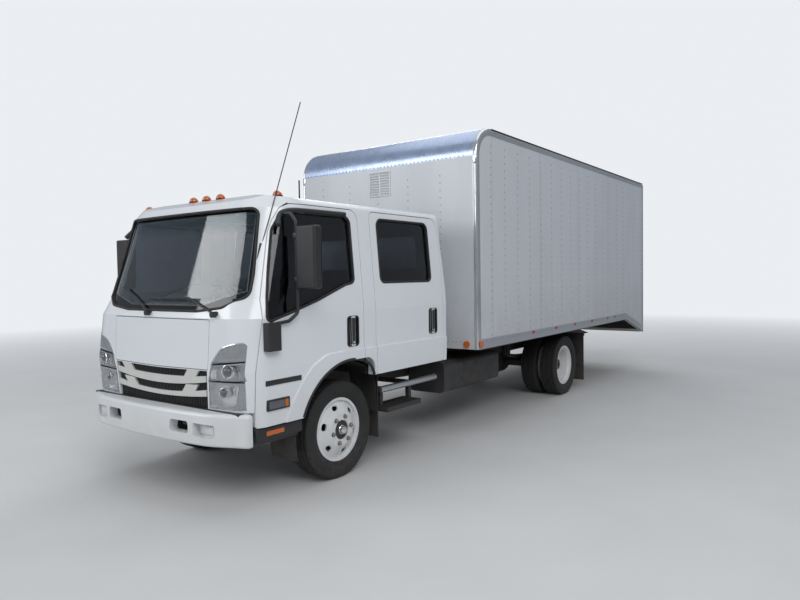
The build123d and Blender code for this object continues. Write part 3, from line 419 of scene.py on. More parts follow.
# Stain: colour, scale and share; dust: colour, share and the heights between which it fades;
# rough: from and to; grain: scale, strength and depth; wave: scale and depth
finishes = {
    "cabWhite": {
        "colour": (0.74, 0.76, 0.78), "stain": ((0.7, 0.72, 0.745), 1.2, 0.35), "rough": (0.22, 0.27),
        "dust": ((0.42, 0.39, 0.35), 0.22, 0.45, 0.95), "coat": 0.5, "grain": (900.0, 0.02, 0.0004),
        "wave": (1.4, 0.0015),
    },
    "bumperWhite": {
        "colour": (0.72, 0.735, 0.745), "stain": ((0.64, 0.66, 0.67), 3.0, 0.6), "rough": (0.28, 0.42),
        "dust": ((0.4, 0.36, 0.31), 0.4, 0.45, 0.75), "coat": 0.25, "grain": (500.0, 0.05, 0.0004),
    },
    "chassisBlack": {
        "colour": (0.022, 0.022, 0.024), "stain": ((0.05, 0.045, 0.04), 5.0, 0.6), "rough": (0.42, 0.68),
        "dust": ((0.1, 0.085, 0.07), 0.25, 0.2, 0.9), "grain": (260.0, 0.18, 0.0004),
    },
    "castIron": {
        "colour": (0.12, 0.12, 0.125), "stain": ((0.2, 0.15, 0.11), 6.0, 0.6), "rough": (0.55, 0.8),
        "metal": 0.6, "grain": (220.0, 0.4, 0.001),
    },
    "dullSteel": {
        "colour": (0.36, 0.34, 0.32), "stain": ((0.24, 0.15, 0.09), 8.0, 0.6), "rough": (0.4, 0.7),
        "metal": 0.9, "grain": (300.0, 0.2, 0.0004),
    },
    "blackPlastic": {
        "colour": (0.018, 0.018, 0.02), "stain": ((0.032, 0.031, 0.03), 9.0, 0.6), "rough": (0.38, 0.52),
        "grain": (1400.0, 0.35, 0.0003),
    },
    "softRubber": {
        "colour": (0.014, 0.014, 0.014), "stain": ((0.035, 0.033, 0.03), 7.0, 0.6), "rough": (0.6, 0.8),
        "dust": ((0.16, 0.14, 0.12), 0.35, 0.1, 0.8), "grain": (700.0, 0.3, 0.0003),
    },
    "wheelWhite": {
        "colour": (0.74, 0.75, 0.76), "stain": ((0.55, 0.53, 0.5), 10.0, 0.55), "rough": (0.32, 0.5),
        "coat": 0.2, "grain": (500.0, 0.08, 0.0004),
    },
    "millAluminium": {
        "colour": (0.56, 0.575, 0.6), "stain": ((0.44, 0.45, 0.47), 4.0, 0.6), "rough": (0.28, 0.42),
        "stretch": (1, 0.1, 1), "metal": 0.9, "grain": (90.0, 0.08, 0.0004), "grainStretch": (14, 0.6, 14),
    },
    "polishedCast": {
        "colour": (0.78, 0.79, 0.8), "stain": ((0.62, 0.63, 0.65), 6.0, 0.6), "rough": (0.12, 0.24),
        "metal": 1.0, "grain": (300.0, 0.05, 0.0004),
    },
    # Polished silver nose sheet; the blue in its colour and stain is a painted sky reflection
    "noseMetalPaintedSky": {
        "colour": (0.42, 0.5, 0.66), "stain": ((0.34, 0.42, 0.58), 2.5, 0.6), "rough": (0.22, 0.36),
        "metal": 0.75, "grain": (260.0, 0.06, 0.0004), "wave": (3.0, 0.004),
    },
    "lampBowl": {
        "colour": (0.88, 0.89, 0.9), "stain": ((0.74, 0.75, 0.77), 30.0, 0.6), "rough": (0.1, 0.22),
        "metal": 0.55, "grain": (40.0, 0.25, 0.004),
    },
    "rivetGrey": {
        "colour": (0.3, 0.31, 0.33), "stain": ((0.38, 0.39, 0.41), 5.0, 0.6), "rough": (0.35, 0.5),
        "metal": 0.2, "grain": (300.0, 0.05, 0.0004),
    },
    "trimGrey": {
        "colour": (0.16, 0.165, 0.17), "stain": ((0.21, 0.21, 0.21), 6.0, 0.6), "rough": (0.5, 0.65),
        "grain": (900.0, 0.4, 0.0004),
    },
    "chrome": {
        "colour": (0.86, 0.87, 0.88), "stain": ((0.74, 0.75, 0.76), 12.0, 0.6), "rough": (0.05, 0.12),
        "metal": 1.0, "grain": (300.0, 0.02, 0.0004),
    },
    "lampGrey": {
        "colour": (0.33, 0.34, 0.35), "stain": ((0.27, 0.28, 0.29), 20.0, 0.6), "rough": (0.22, 0.34),
        "metal": 0.35, "coat": 0.4, "grain": (900.0, 0.06, 0.0004),
    },
    "portalWhite": {
        "colour": (0.7, 0.715, 0.73), "stain": ((0.6, 0.61, 0.62), 2.0, 0.6), "rough": (0.3, 0.45),
        "dust": ((0.4, 0.36, 0.31), 0.35, 0.6, 1.4), "grain": (400.0, 0.08, 0.0004),
    },
}
# Colour, roughness from and to, clearness and depth of the flutes
lenses = {
    "amberLens": ((0.75, 0.16, 0.02), (0.12, 0.25), 0.25, 0.12),
    "redLens": ((0.5, 0.012, 0.01), (0.12, 0.25), 0.2, 0.12),
    "clearLens": ((0.98, 0.985, 0.99), (0.0, 0.02), 1.0, 0.01),
    "darkLens": ((0.2, 0.21, 0.23), (0.01, 0.03), 0.5, 0.02),
}
seamEvery = 1.2276
boardWidth = 0.152


def lensFinish(name, colour, rough, clear, flute):
    # Moulded lens with fine flutes
    shader, place = startFinish(name)
    cloud = noiseAt(place, 30.0, 3)
    plug(shader, {
        "Base Color": mixColours(spread(cloud, 0, 0.5), colour, tuple(c * 0.8 for c in colour)),
        "Transmission Weight": clear, "IOR": 1.49, "Coat Weight": 0.5,
        "Roughness": spread(cloud, *rough),
        "Normal": bumpFrom(waveAt(place, "Y", 60.0), flute, 0.001),
    })


def tintedFinish():
    # Dark side windows with a little haze
    shader, place = startFinish("tintedGlass")
    film = spread(noiseAt(place, 2.5, 4), 0, 0.5)
    smear = noiseAt(place, 6.0, 5, 0.6, (1, 1, 0.4))
    plug(shader, {
        "Base Color": mixColours(film, (0.09, 0.095, 0.11), (0.12, 0.12, 0.13)),
        "Roughness": spread(smear, 0.0, 0.05), "Transmission Weight": 1.0, "IOR": 1.45,
    })


def windscreenFinish():
    # Clear pane with a printed black edge and a blue band along its top
    shader, place = startFinish("windscreenGlass")
    height = axisOf(place, "Z")
    across = maths("ABSOLUTE", axisOf(place, "X"))
    side = spread(height, 0.882, 0.804, 1.535, 2.165)
    outside = spread(maths("SUBTRACT", across, side), 0, 1, -0.03, -0.026)
    above = spread(height, 0, 1, 2.132, 2.136)
    slope = spread(across, 1.425, 1.535, 0.453, 0.88)
    below = spread(maths("SUBTRACT", slope, height), 0, 1, -0.036, -0.032)
    border = maths("MAXIMUM", maths("MAXIMUM", outside, above), below)
    clouded = spread(noiseAt(place, 2.0, 4), 0, 0.5)
    pane = mixColours(clouded, (0.8, 0.87, 0.9), (0.74, 0.82, 0.86))
    pane = mixColours(spread(height, 0, 0.85, 1.99, 2.1), pane, (0.16, 0.36, 0.44))
    plug(shader, {
        "Base Color": mixColours(border, pane, (0.006, 0.006, 0.007)),
        "Transmission Weight": spread(border, 1.0, 0.0, 0, 1),
        "Roughness": spread(noiseAt(place, 5.0, 5), 0.01, 0.05), "IOR": 1.45,
    })


def grilleFinish():
    # Pale satin bars; what lies behind their faces is black
    shader, place = startFinish("grilleFinish")
    across = axisOf(place, "X")
    bow = maths("MULTIPLY", maths("MULTIPLY", across, across), 0.038)
    lean = maths("MULTIPLY", axisOf(place, "Z"), -0.0674)
    face = maths("ADD", maths("ADD", bow, lean), frontAxleY - 1.06 + 0.0674)
    depth = maths("SUBTRACT", axisOf(place, "Y"), face)
    behind = spread(depth, 0, 1, 0.016, 0.018)
    stains = spread(noiseAt(place, 14.0, 4), 0, 0.6)
    pale = mixColours(stains, (0.66, 0.66, 0.63), (0.58, 0.58, 0.55))
    plug(shader, {
        "Base Color": mixColours(behind, pale, (0.012, 0.012, 0.013)),
        "Roughness": spread(behind, 0.26, 0.5, 0, 1), "Metallic": spread(behind, 0.35, 0.0, 0, 1),
        "Coat Weight": 0.3, "Normal": bumpFrom(noiseAt(place, 700.0, 2), 0.06, 0.0003),
    })


def sheetFinish(name, colour, rough):
    # Body sheet: faint ripples between the posts and a thin lap joint at each seam
    shader, place = startFinish(name)
    along = axisOf(place, "Y")
    streaks = noiseAt(place, 1.4, 6, 0.62, (1, 1, 0.25))
    stained = mixColours(spread(streaks, 0, 0.7), colour, tuple(c * 0.88 for c in colour))
    low = spread(axisOf(place, "Z"), 0.45, 0, 0.95, 1.5)
    grime = spread(noiseAt(place, 5.0, 6), 0.2, 1)
    stained = mixColours(maths("MULTIPLY", low, grime), stained, (0.4, 0.38, 0.35))
    steps = maths("DIVIDE", maths("SUBTRACT", along, boxFrontY + 0.307), seamEvery)
    fold = maths("FRACT", steps)
    joint = maths("SUBTRACT", spread(fold, 0, 1, 0.0, 0.012), spread(fold, 0, 1, 0.03, 0.042))
    broad = bumpFrom(waveAt(place, "Y", math.pi / (10 * seamEvery), 1.2), 0.35, 0.004)
    dents = bumpFrom(noiseAt(place, 2.6, 2), 0.25, 0.006, broad)
    plug(shader, {
        "Base Color": mixColours(spread(joint, 0, 0.16, 0, 1), stained, (0.3, 0.31, 0.32)),
        "Roughness": spread(streaks, *rough), "Coat Weight": 0.15,
        "Normal": bumpFrom(joint, 0.6, 0.0012, dents),
    })


def woodFinish():
    # Oiled hardwood boards with dark joints between them
    shader, place = startFinish("floorBoards")
    board = maths("DIVIDE", axisOf(place, "X"), boardWidth)
    inBoard = maths("FRACT", board)
    tone = addNode(
        place.id_data, "TexWhiteNoise", {"W": maths("FLOOR", board)}, noise_dimensions="1D")
    fibres = noiseAt(place, 34.0, 8, 0.62, (1, 0.045, 1))
    wood = mixColours(spread(fibres, 0, 1), (0.34, 0.21, 0.11), (0.2, 0.115, 0.055))
    wood = mixColours(spread(tone.outputs["Value"], 0, 0.4, 0, 1), wood, (0.16, 0.1, 0.055))
    gap = maths("ADD", spread(inBoard, 1, 0, 0.0, 0.03), spread(inBoard, 0, 1, 0.97, 1.0))
    grain = bumpFrom(fibres, 0.25, 0.001)
    plug(shader, {
        "Base Color": mixColours(gap, wood, (0.03, 0.02, 0.015)),
        "Roughness": spread(fibres, 0.45, 0.65),
        "Normal": bumpFrom(maths("MULTIPLY", gap, -1.0), 0.8, 0.002, grain),
    })


def clothFinish():
    # Woven seat cloth: two crossed sets of threads and a pale fleck
    shader, place = startFinish("seatCloth")
    threads = [waveAt(place, direction, 110.0, 0.6) for direction in ("X", "DIAGONAL")]
    weave = maths("MULTIPLY", *threads)
    fleck = spread(noiseAt(place, 160.0, 2), 0, 1, 0.55, 0.7)
    cloth = mixColours(spread(weave, 0, 1, 0, 1), (0.045, 0.046, 0.05), (0.1, 0.1, 0.11))
    plug(shader, {
        "Base Color": mixColours(fleck, cloth, (0.16, 0.16, 0.17)),
        "Roughness": spread(fleck, 0.85, 0.95, 0, 1), "Sheen Weight": 0.35,
        "Normal": bumpFrom(weave, 0.5, 0.001),
    })


def tyreFinish():
    # Black rubber, dusty near the ground
    shader, place = startFinish("tyreRubber")
    cloud = noiseAt(place, 12.0, 6)
    rubber = mixColours(spread(cloud, 0, 1), (0.011, 0.011, 0.011), (0.024, 0.023, 0.021))
    height = spread(axisOf(place, "Z"), 0.22, 0, 0.0, 0.5)
    dusty = maths("MULTIPLY", height, spread(noiseAt(place, 25.0, 5), 0, 1))
    plug(shader, {
        "Base Color": mixColours(dusty, rubber, (0.16, 0.14, 0.12)),
        "Roughness": spread(cloud, 0.62, 0.85),
        "Normal": bumpFrom(noiseAt(place, 350.0, 2), 0.3, 0.0006),
    })


def rampFinish():
    # Extruded planks, ribbed along their length
    shader, place = startFinish("rampPlanks")
    cloud = noiseAt(place, 3.0, 6, 0.6, (0.3, 1, 1))
    plug(shader, {
        "Base Color": mixColours(spread(cloud, 0, 1), (0.62, 0.63, 0.64), (0.47, 0.48, 0.49)),
        "Metallic": 0.85, "Roughness": spread(cloud, 0.3, 0.5),
        "Normal": bumpFrom(waveAt(place, "Z", math.pi / (10 * 0.03)), 0.3, 0.002),
    })


for name, look in finishes.items():
    workedFinish(name, look)
for name, look in lenses.items():
    lensFinish(name, *look)
for name, colour, rough in (
    ("bodySheet", (0.6, 0.62, 0.65), (0.34, 0.46)), ("roofSheet", (0.66, 0.67, 0.68), (0.3, 0.45)),
):
    sheetFinish(name, colour, rough)
for make in (tintedFinish, windscreenFinish, grilleFinish, woodFinish, clothFinish, tyreFinish, rampFinish):
    make()

# The CAD nodes of each finish; a name that ends with a line stands for its left and right node
nodeFinish = {
    "cabWhite": ["cab_sides", "cab_front", "cab_back", "cab_roof", "service_lid",
                 "door_front_", "door_rear_"],
    "bumperWhite": ["front_bumper"],
    "chassisBlack": ["chassis_frame", "front_axle", "rear_axle", "leaf_springs", "fuel_tank", "side_steps",
                     "drive_shaft", "knuckle_", "floor_beams", "body_sills"],
    "castIron": ["engine_block", "gearbox"],
    "dullSteel": ["exhaust"],
    "blackPlastic": ["cab_floor", "dashboard", "wipers", "antenna", "mirror_"],
    "grilleFinish": ["grille"],
    "seatCloth": ["seats"],
    "windscreenGlass": ["cab_glass"],
    "tintedGlass": ["window_front_", "window_rear_"],
    "lampGrey": ["headlamps"],
    "amberLens": ["marker_lamps"],
    "redLens": ["tail_lamps"],
    "softRubber": ["mud_flaps"],
    "wheelWhite": ["rim_front_", "rim_rear_"],
    "tyreRubber": ["tyre_front_", "tyre_rear_"],
    "floorBoards": ["load_floor"],
    "millAluminium": ["box_rails"],
    "bodySheet": ["box_sides", "box_front"],
    "roofSheet": ["box_roof"],
    "portalWhite": ["rear_portal"],
    "rampPlanks": ["ramp_door"],
}
for name, nodes in nodeFinish.items():
    for node in nodes:
        for side in ("left", "right") if node.endswith("_") else ("",):
            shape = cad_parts[node + side]
            shape.data.materials.clear()
            shape.data.materials.append(finish[name])
print("stage: materials on the CAD nodes")


cameraLooks = {
    "place": (4.463, frontAxleY - 3.959, 1.661), "yaw": 36.23, "pitch": -2.2, "roll": -0.9, "lens": 29.09,
}
studioLooks = {
    "floorColour": (0.62, 0.62, 0.61), "backColour": (0.83, 0.86, 0.89), "worldLight": 0.36,
    "fadeFrom": 6, "fadeTo": 19,
    # name, place, energy, width, height
    "lamps": [
        ("keyPanel", (9, -9, 9), 720, 8, 6),
        ("skyPanel", (0, 1, 11), 430, 12, 12),
        ("frontPanel", (-6, -12, 6), 420, 7, 5),
        ("rearPanel", (-7, 11, 8), 380, 8, 6),
    ],
}


def placeCamera(values):
    yaw, pitch, roll = (math.radians(values[key]) for key in ("yaw", "pitch", "roll"))
    forward = Vector((-math.sin(yaw) * math.cos(pitch), math.cos(yaw) * math.cos(pitch), math.sin(pitch)))
    right = Vector((math.cos(yaw), math.sin(yaw), 0))
    up = right.cross(forward)
    columns = (
        right * math.cos(roll) + up * math.sin(roll), up * math.cos(roll) - right * math.sin(roll),
        -forward, Vector(values["place"]))
    camera = bpy.data.objects.new("photoCamera", bpy.data.cameras.new("photoCamera"))
    bpy.context.scene.collection.objects.link(camera)
    camera.matrix_world = Matrix([*zip(*columns), (0, 0, 0, 1)])
    camera.data.lens = values["lens"]
    camera.data.sensor_width = 36
    camera.data.clip_end = 400
    bpy.context.scene.camera = camera


def makeStudio(values):
    bpy.ops.mesh.primitive_plane_add(size=160, location=(0, 0, -0.0005))
    floor = bpy.context.object
    floor.name = "studioFloor"
    shader, place = startFinish("studioFloor")
    tree = shader.id_data
    tone = values["floorColour"]
    mottle = spread(noiseAt(place, 1.2, 6), 0, 1)
    colour = mixColours(mottle, tone, tuple(c * 0.95 for c in tone))
    plug(shader, {"Base Color": colour, "Roughness": 0.75})
    # Far away the floor fades into the backdrop
    squares = [maths("MULTIPLY", side, side) for side in (axisOf(place, axis) for axis in "XY")]
    reach = maths("SQRT", maths("ADD", *squares))
    fade = spread(reach, 0, 1, values["fadeFrom"], values["fadeTo"])
    rays = addNode(tree, "LightPath", {}).outputs["Is Camera Ray"]
    glow = addNode(tree, "Emission", {"Color": values["backColour"]})
    blend = addNode(tree, "MixShader", {
        0: maths("MULTIPLY", fade, rays), 1: shader.outputs[0], 2: glow.outputs[0]})
    plug(tree.nodes["Material Output"], {"Surface": blend.outputs[0]})
    floor.data.materials.append(finish["studioFloor"])
    for name, place, energy, width, height in values["lamps"]:
        bpy.ops.object.light_add(type="AREA", location=place)
        lamp = bpy.context.object
        lamp.name = name
        lamp.data.shape = "RECTANGLE"
        lamp.data.size, lamp.data.size_y = width, height
        lamp.data.energy = energy
        lamp.rotation_mode = "QUATERNION"
        lamp.rotation_quaternion = (Vector((0, -1, 1)) - Vector(place)).to_track_quat("-Z", "Y")
    world = bpy.context.scene.world = bpy.data.worlds.new("studioWorld")
    world.use_nodes = True
    tree = world.node_tree
    light = tree.nodes["Background"]
    plug(light, {"Color": (0.8, 0.88, 1.0), "Strength": values["worldLight"]})
    seen = addNode(tree, "Background", {"Color": values["backColour"]})
    rays = addNode(tree, "LightPath", {}).outputs["Is Camera Ray"]
    blend = addNode(tree, "MixShader", {0: rays, 1: light.outputs[0], 2: seen.outputs[0]})
    plug(tree.nodes["World Output"], {"Surface": blend.outputs[0]})
    bpy.context.scene.view_settings.view_transform = "Standard"


placeCamera(cameraLooks)
makeStudio(studioLooks)
print("stage: camera, floor and lights")


wheelLooks = {
    "treadRadius": 0.4, "blockGap": 0.0028, "blockRise": 0.0055, "stepsRound": 80,
    "nutCircle": 0.111, "nutWidth": 0.03, "nuts": 6, "boltCircle": 0.057, "bolts": 8,
    "frontDrum": 0.178, "rearDrum": 0.2,
    # counted outwards from the middle of the tyre
    "frontFace": 0.117, "rearFace": -0.12, "rearFlange": -0.02,
}
frontWheelX = 0.8325
innerWheelX = 0.698
outerWheelX = 0.972


def tyreShape(centreX, y, values):
    base = values["treadRadius"] - values["blockRise"]
    groove = base - 0.008
    half = [
        (0.076, 0.2475), (0.077, 0.261), (0.084, 0.264), (0.09, 0.268), (0.096, 0.279), (0.105, 0.298),
        (0.1095, 0.31), (0.111, 0.312), (0.112, 0.325), (0.111, 0.344), (0.1085, 0.356), (0.1065, 0.359),
        (0.1045, 0.371), (0.1, 0.384), (0.093, base - 0.002),
        (0.069, base), (0.0675, groove), (0.0605, groove), (0.059, base),
        (0.025, base), (0.0235, groove), (0.0165, groove), (0.015, base),
    ]
    profile = half + [(-s, r) for s, r in reversed(half)]
    tyre = turned(profile, (centreX, y, axleZ), values["stepsRound"])

    def distance(centre):
        return math.hypot(centre.y - y, centre.z - axleZ)

    def isRib(centre, normal):
        return distance(centre) > base - 0.0035 and abs(normal.x) < 0.25

    def isShoulder(centre, normal):
        return 0.372 < distance(centre) < 0.388 and abs(centre.x - centreX) > 0.096

    for test, depth in ((isRib, values["blockRise"] - 0.0002), (isShoulder, 0.0016)):
        editFaces(tyre, test)
        bpy.ops.mesh.inset(thickness=values["blockGap"], depth=depth, use_individual=True)
        leaveEdit()
    return tyre


def hexNut(x, y, z, values):
    # A flanged nut with the end of its stud
    bpy.ops.mesh.primitive_cylinder_add(
        vertices=6, radius=values["nutWidth"] / 2, depth=0.02, location=(x + 0.01, y, z),
        rotation=(0, math.pi / 2, 0))
    nut = fresh()
    editFaces(nut, lambda centre, normal: normal.x > 0.9)
    bpy.ops.mesh.bevel(offset=0.003, segments=1)
    leaveEdit()
    flange = roundBar((x + 0.002, y, z), 0.0185, 0.004, edge=0.001, sides=18, steps=1)
    stud = roundBar((x + 0.012, y, z), 0.008, 0.03, edge=0.0015, sides=12, steps=1)
    return joined([nut, flange, stud])


def circleSpots(y, radius, count, start=0.0):
    # Points in a ring round an axle
    angles = [start + index * 2 * math.pi / count for index in range(count)]
    return [(y + radius * math.cos(angle), axleZ + radius * math.sin(angle)) for angle in angles]


def makeWheels(values):
    tyre = tyreShape(frontWheelX, frontAxleY, values)
    rear = joined([
        copied(tyre, Matrix.Translation((x - frontWheelX, rearAxleY - frontAxleY, 0)))
        for x in (innerWheelX, outerWheelX)
    ])
    for piece, name, body, node in (
        (tyre, "tyreFront", "wheel_front_", "tyre_front_"), (rear, "tyreRear", "wheels_rear_", "tyre_rear_"),
    ):
        for half, side in zip(settlePair(piece, name, "tyreRubber", body), ("left", "right")):
            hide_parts(node + side)
    faceX = frontWheelX + values["frontFace"]
    for name, body, x, y in (
        ("nutsFront", "wheel_front_", faceX, frontAxleY),
        ("nutsRear", "wheels_rear_", outerWheelX + values["rearFace"], rearAxleY),
    ):
        spots = circleSpots(y, values["nutCircle"], values["nuts"], math.radians(10))
        settlePair(joined([hexNut(x, *spot, values) for spot in spots]), name, "dullSteel", body)
    # Black hub face and silver dust cap in the bore of the front disc
    hub = roundBar((faceX - 0.01, frontAxleY, axleZ), 0.0775, 0.006, edge=0.002, sides=40)
    settlePair(hub, "hubFace", "chassisBlack", "wheel_front_")
    cap = turned([
        (-0.012, 0.0), (-0.012, 0.038), (0.002, 0.038), (0.006, 0.034), (0.022, 0.033), (0.032, 0.027),
        (0.038, 0.015), (0.04, 0.0)], (faceX, frontAxleY, axleZ), 32)
    settlePair(cap, "dustCap", "chrome", "wheel_front_")
    # Flange of the half shaft on the rear hub with its ring of bolts
    flangeX = outerWheelX + values["rearFlange"]
    flange = roundBar((flangeX + 0.006, rearAxleY, axleZ), 0.074, 0.012, edge=0.003, sides=40)
    centre = roundBar((flangeX + 0.016, rearAxleY, axleZ), 0.034, 0.014, edge=0.004, sides=28)
    bolts = [
        roundBar((flangeX + 0.016, *spot), 0.009, 0.01, edge=0.001, sides=6, steps=1)
        for spot in circleSpots(rearAxleY, values["boltCircle"], values["bolts"])
    ]
    settlePair(joined([flange, centre] + bolts), "shaftFlange", "castIron", "wheels_rear_")
    # Brake drums inside the rims
    for x, y, radius, half, name, body in (
        (frontWheelX - 0.035, frontAxleY, values["frontDrum"], 0.035, "drumFront", "wheel_front_"),
        (innerWheelX - 0.09, rearAxleY, values["rearDrum"], 0.06, "drumRear", "wheels_rear_"),
    ):
        drum = turned([
            (-half, 0.085), (-half, radius - 0.012), (0.006 - half, radius), (-0.012, radius),
            (-0.008, radius - 0.004), (0.008, radius - 0.004), (0.012, radius), (half - 0.006, radius),
            (half, radius - 0.01), (half, 0.085)], (x, y, axleZ))
        settlePair(drum, name, "castIron", body)


makeWheels(wheelLooks)
print("stage: wheels")


frontNodes = (
    "cab_front", "headlamps", "service_lid", "grille", "cab_glass", "door_front_left", "door_front_right")
sideNodes = ("door_front_left", "door_rear_left", "cab_sides", "cab_front", "cab_back")


def onCab(x, z, nodes=frontNodes):
    # The foremost skin of the cab over a point of the front view
    found = [landing(node, (x, -6, z), (0, 1, 0)) for node in nodes]
    return min(spot.y for spot in found if spot)


def cabFrontY(x, z):
    # The middle of the front, where the skin is only bowed
    return frontAxleY - 1.06 + cabSection(z)[1] + 0.04 * (x / 1.03) ** 2


def onSide(y, z, nodes=sideNodes):
    # The outermost skin on the driver's side over a point of the side view
    found = [landing(node, (3, frontAxleY + y, z), (-1, 0, 0)) for node in nodes]
    found = [spot.x for spot in found if spot]
    return max(found) if found else cabSection(z)[0]


def skinPatch(place, columns, rows, depth, thickness):
    # A shell over the front: place(u, v) gives x and z, the cab's skin gives y
    def seated(u, v):
        x, z = place(u, v)
        return x, onCab(x, z) + depth, z

    piece = gridSheet(columns, rows, seated)
    editAll(piece)
    bpy.ops.mesh.normals_make_consistent(inside=False)
    leaveEdit()
    if piece.data.polygons[0].normal.y > 0:
        editAll(piece)
        bpy.ops.mesh.flip_normals()
        leaveEdit()
    return thickened(piece, thickness) if thickness else piece


def between(corners, bulge=(0, 0, 0, 0)):
    # A four-cornered region: bottom left, bottom right, top right, top left, with bowed edges
    (ax, az), (bx, bz), (cx, cz), (dx, dz) = corners
    low, right, high, left = bulge

    def place(u, v):
        x = (1 - v) * ((1 - u) * ax + u * bx) + v * ((1 - u) * dx + u * cx)
        z = (1 - v) * ((1 - u) * az + u * bz) + v * ((1 - u) * dz + u * cz)
        z += 4 * u * (1 - u) * ((1 - v) * low + v * high)
        x += 4 * v * (1 - v) * ((1 - u) * left + u * right)
        return x, z
    return place


lampLooks = {
    "tubDepth": 0.055, "lensThickness": 0.003,
    # lower and upper lens: corners as (x, z), then the projector as (x, z, radius)
    "lower": ([(0.607, 0.731), (0.866, 0.752), (0.909, 0.905), (0.609, 0.895)], (0.745, 0.842, 0.036)),
    "upper": ([(0.618, 0.931), (0.917, 0.95), (0.917, 1.052), (0.652, 1.029)], (0.8, 1.0, 0.045)),
    # strips of the housing round the two lenses
    "housing": [
        [(0.588, 0.719), (0.607, 0.731), (0.609, 0.895), (0.602, 0.905)],
        [(0.588, 0.719), (0.94, 0.729), (0.866, 0.752), (0.607, 0.731)],
        [(0.866, 0.752), (0.94, 0.729), (0.945, 0.925), (0.909, 0.905)],
        [(0.609, 0.895), (0.909, 0.905), (0.945, 0.925), (0.602, 0.912)],
        [(0.602, 0.921), (0.945, 0.937), (0.917, 0.95), (0.618, 0.931)],
        [(0.917, 0.95), (0.945, 0.937), (0.947, 1.068), (0.917, 1.052)],
        [(0.602, 0.921), (0.618, 0.931), (0.652, 1.029), (0.636, 1.034)],
        [(0.636, 1.034), (0.652, 1.029), (0.917, 1.052), (0.947, 1.068)],
    ],
    # the fin over the lenses: corners, bowed edges, columns and rows
    "fin": [
        ([(0.645, 1.048), (0.948, 1.078), (0.948, 1.186), (0.728, 1.142)], (0, 0, 0.016, -0.006), 14, 8),
        ([(0.728, 1.142), (0.948, 1.186), (0.93, 1.203), (0.826, 1.188)], (0, 0, 0.005, -0.004), 12, 3),
    ],
    "finEdge": [(0.637, 1.04), (0.657, 1.07), (0.687, 1.107), (0.728, 1.151), (0.779, 1.174),
                (0.828, 1.188), (0.889, 1.201), (0.925, 1.204)],
    "back": [(0.592, 0.724), (0.935, 0.736), (0.942, 1.18), (0.64, 1.04)],
}


def lampTub(corners, values):
    # The bright bowl behind a lens: a floor set back from the skin with walls up to the lens
    tub = skinPatch(between(corners), 8, 6, values["tubDepth"], 0)
    editAll(tub)
    bpy.ops.mesh.region_to_loop()
    bpy.ops.mesh.extrude_region_move(TRANSFORM_OT_translate={"value": (0, 0.004 - values["tubDepth"], 0)})
    leaveEdit()
    return thickened(tub, 0.002)


def lampProjector(x, z, radius):
    # A ball lens in a bright ring that faces forwards
    y = onCab(x, z) + 0.012
    bpy.ops.mesh.primitive_torus_add(
        major_radius=radius, minor_radius=radius * 0.16, major_segments=40, minor_segments=12,
        location=(x, y, z), rotation=(math.pi / 2, 0, 0.35))
    ring = fresh()
    barrel = roundBar((x, y + 0.02, z), radius * 0.97, 0.036, "Y", 0.003, 36)
    bpy.ops.mesh.primitive_uv_sphere_add(
        segments=32, ring_count=16, radius=radius * 0.86, location=(x, y + 0.004, z))
    ball = fresh()
    return joined([ring, barrel]), ball


def makeHeadlamps(values):
    grey = joined([skinPatch(between(strip), 10, 4, -0.001, 0.012) for strip in values["housing"]])
    housing = settlePair(grey, "lampHousing", "lampGrey")
    fin = joined([
        skinPatch(between(corners, bulge), columns, rows, -0.002, 0.012)
        for corners, bulge, columns, rows in values["fin"]
    ])
    settlePair(fin, "lampFin", "lampGrey")
    rim = tubeAlong([(x, onCab(x, z) - 0.002, z) for x, z in values["finEdge"]], 0.0045, 6)
    settlePair(rim, "lampFinEdge", "chrome")
    for name in ("lower", "upper"):
        corners, spot = values[name]
        settlePair(lampTub(corners, values), name + "LampBowl", "lampBowl")
        ring, ball = lampProjector(*spot)
        settlePair(ring, name + "LampRing", "chrome")
        settlePair(ball, name + "LampBall", "darkLens")
        lens = skinPatch(between(corners), 14, 8, -0.0025, values["lensThickness"])
        settlePair(lens, name + "LampLens", "clearLens")
    # A black box behind it all
    box = skinPatch(between(values["back"], (0, 0, 0.05, 0)), 10, 10, 0.058, 0.003)
    settlePair(box, "lampBack", "blackPlastic")
    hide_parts("headlamps")


makeHeadlamps(lampLooks)
print("stage: headlamps")


frontLooks = {
    "ribPitch": 0.0185, "ribWidth": 0.007, "ribDepth": 0.02, "ribSpan": 1.12, "ribBack": 0.024,
    "gapHalf": 0.574,
    # gaps: lower edge at the middle and end, upper edge at the middle and end
    "gaps": [(0.93, 0.955, 0.98, 0.989), (0.809, 0.852, 0.863, 0.906), (0.713, 0.713, 0.77, 0.8)],
}


def makeGrilleRibs(values):
    # Upright black ribs in the three gaps, set back behind the pale bars
    ribs = []
    span = values["ribSpan"]
    count = int(span / values["ribPitch"])
    for low, lowEnd, high, highEnd in values["gaps"]:
        for index in range(count + 1):
            x = -span / 2 + index * span / count
            share = (x / values["gapHalf"]) ** 2
            bottom, top = low + (lowEnd - low) * share, high + (highEnd - high) * share
            middle = (bottom + top) / 2
            bpy.ops.mesh.primitive_cube_add(
                size=1, location=(x, cabFrontY(x, middle) + values["ribBack"], middle),
                scale=(values["ribWidth"], values["ribDepth"], top - bottom))
            ribs.append(bpy.context.object)
    settle(joined(ribs), "grilleRibs", "blackPlastic")


def makeBumperFittings():
    # Dark filler in the gap over the bumper, and the blanked fog lamp plates
    gap = cabBlock((-0.93, -1.05, 0.69), (0.93, -0.99, 0.7115))
    settle(gap, "bumperFiller", "blackPlastic")
    settlePair(cabBlock((0.59, -1.113, 0.556), (0.735, -1.098, 0.615)), "fogBlank", "bumperWhite")
    studs = [roundBar((x, frontAxleY - 1.1755, 0.6), 0.009, 0.004, "Y", 0.001, 16) for x in (-0.11, 0.11)]
    settle(joined(studs), "plateStuds", "bumperWhite")


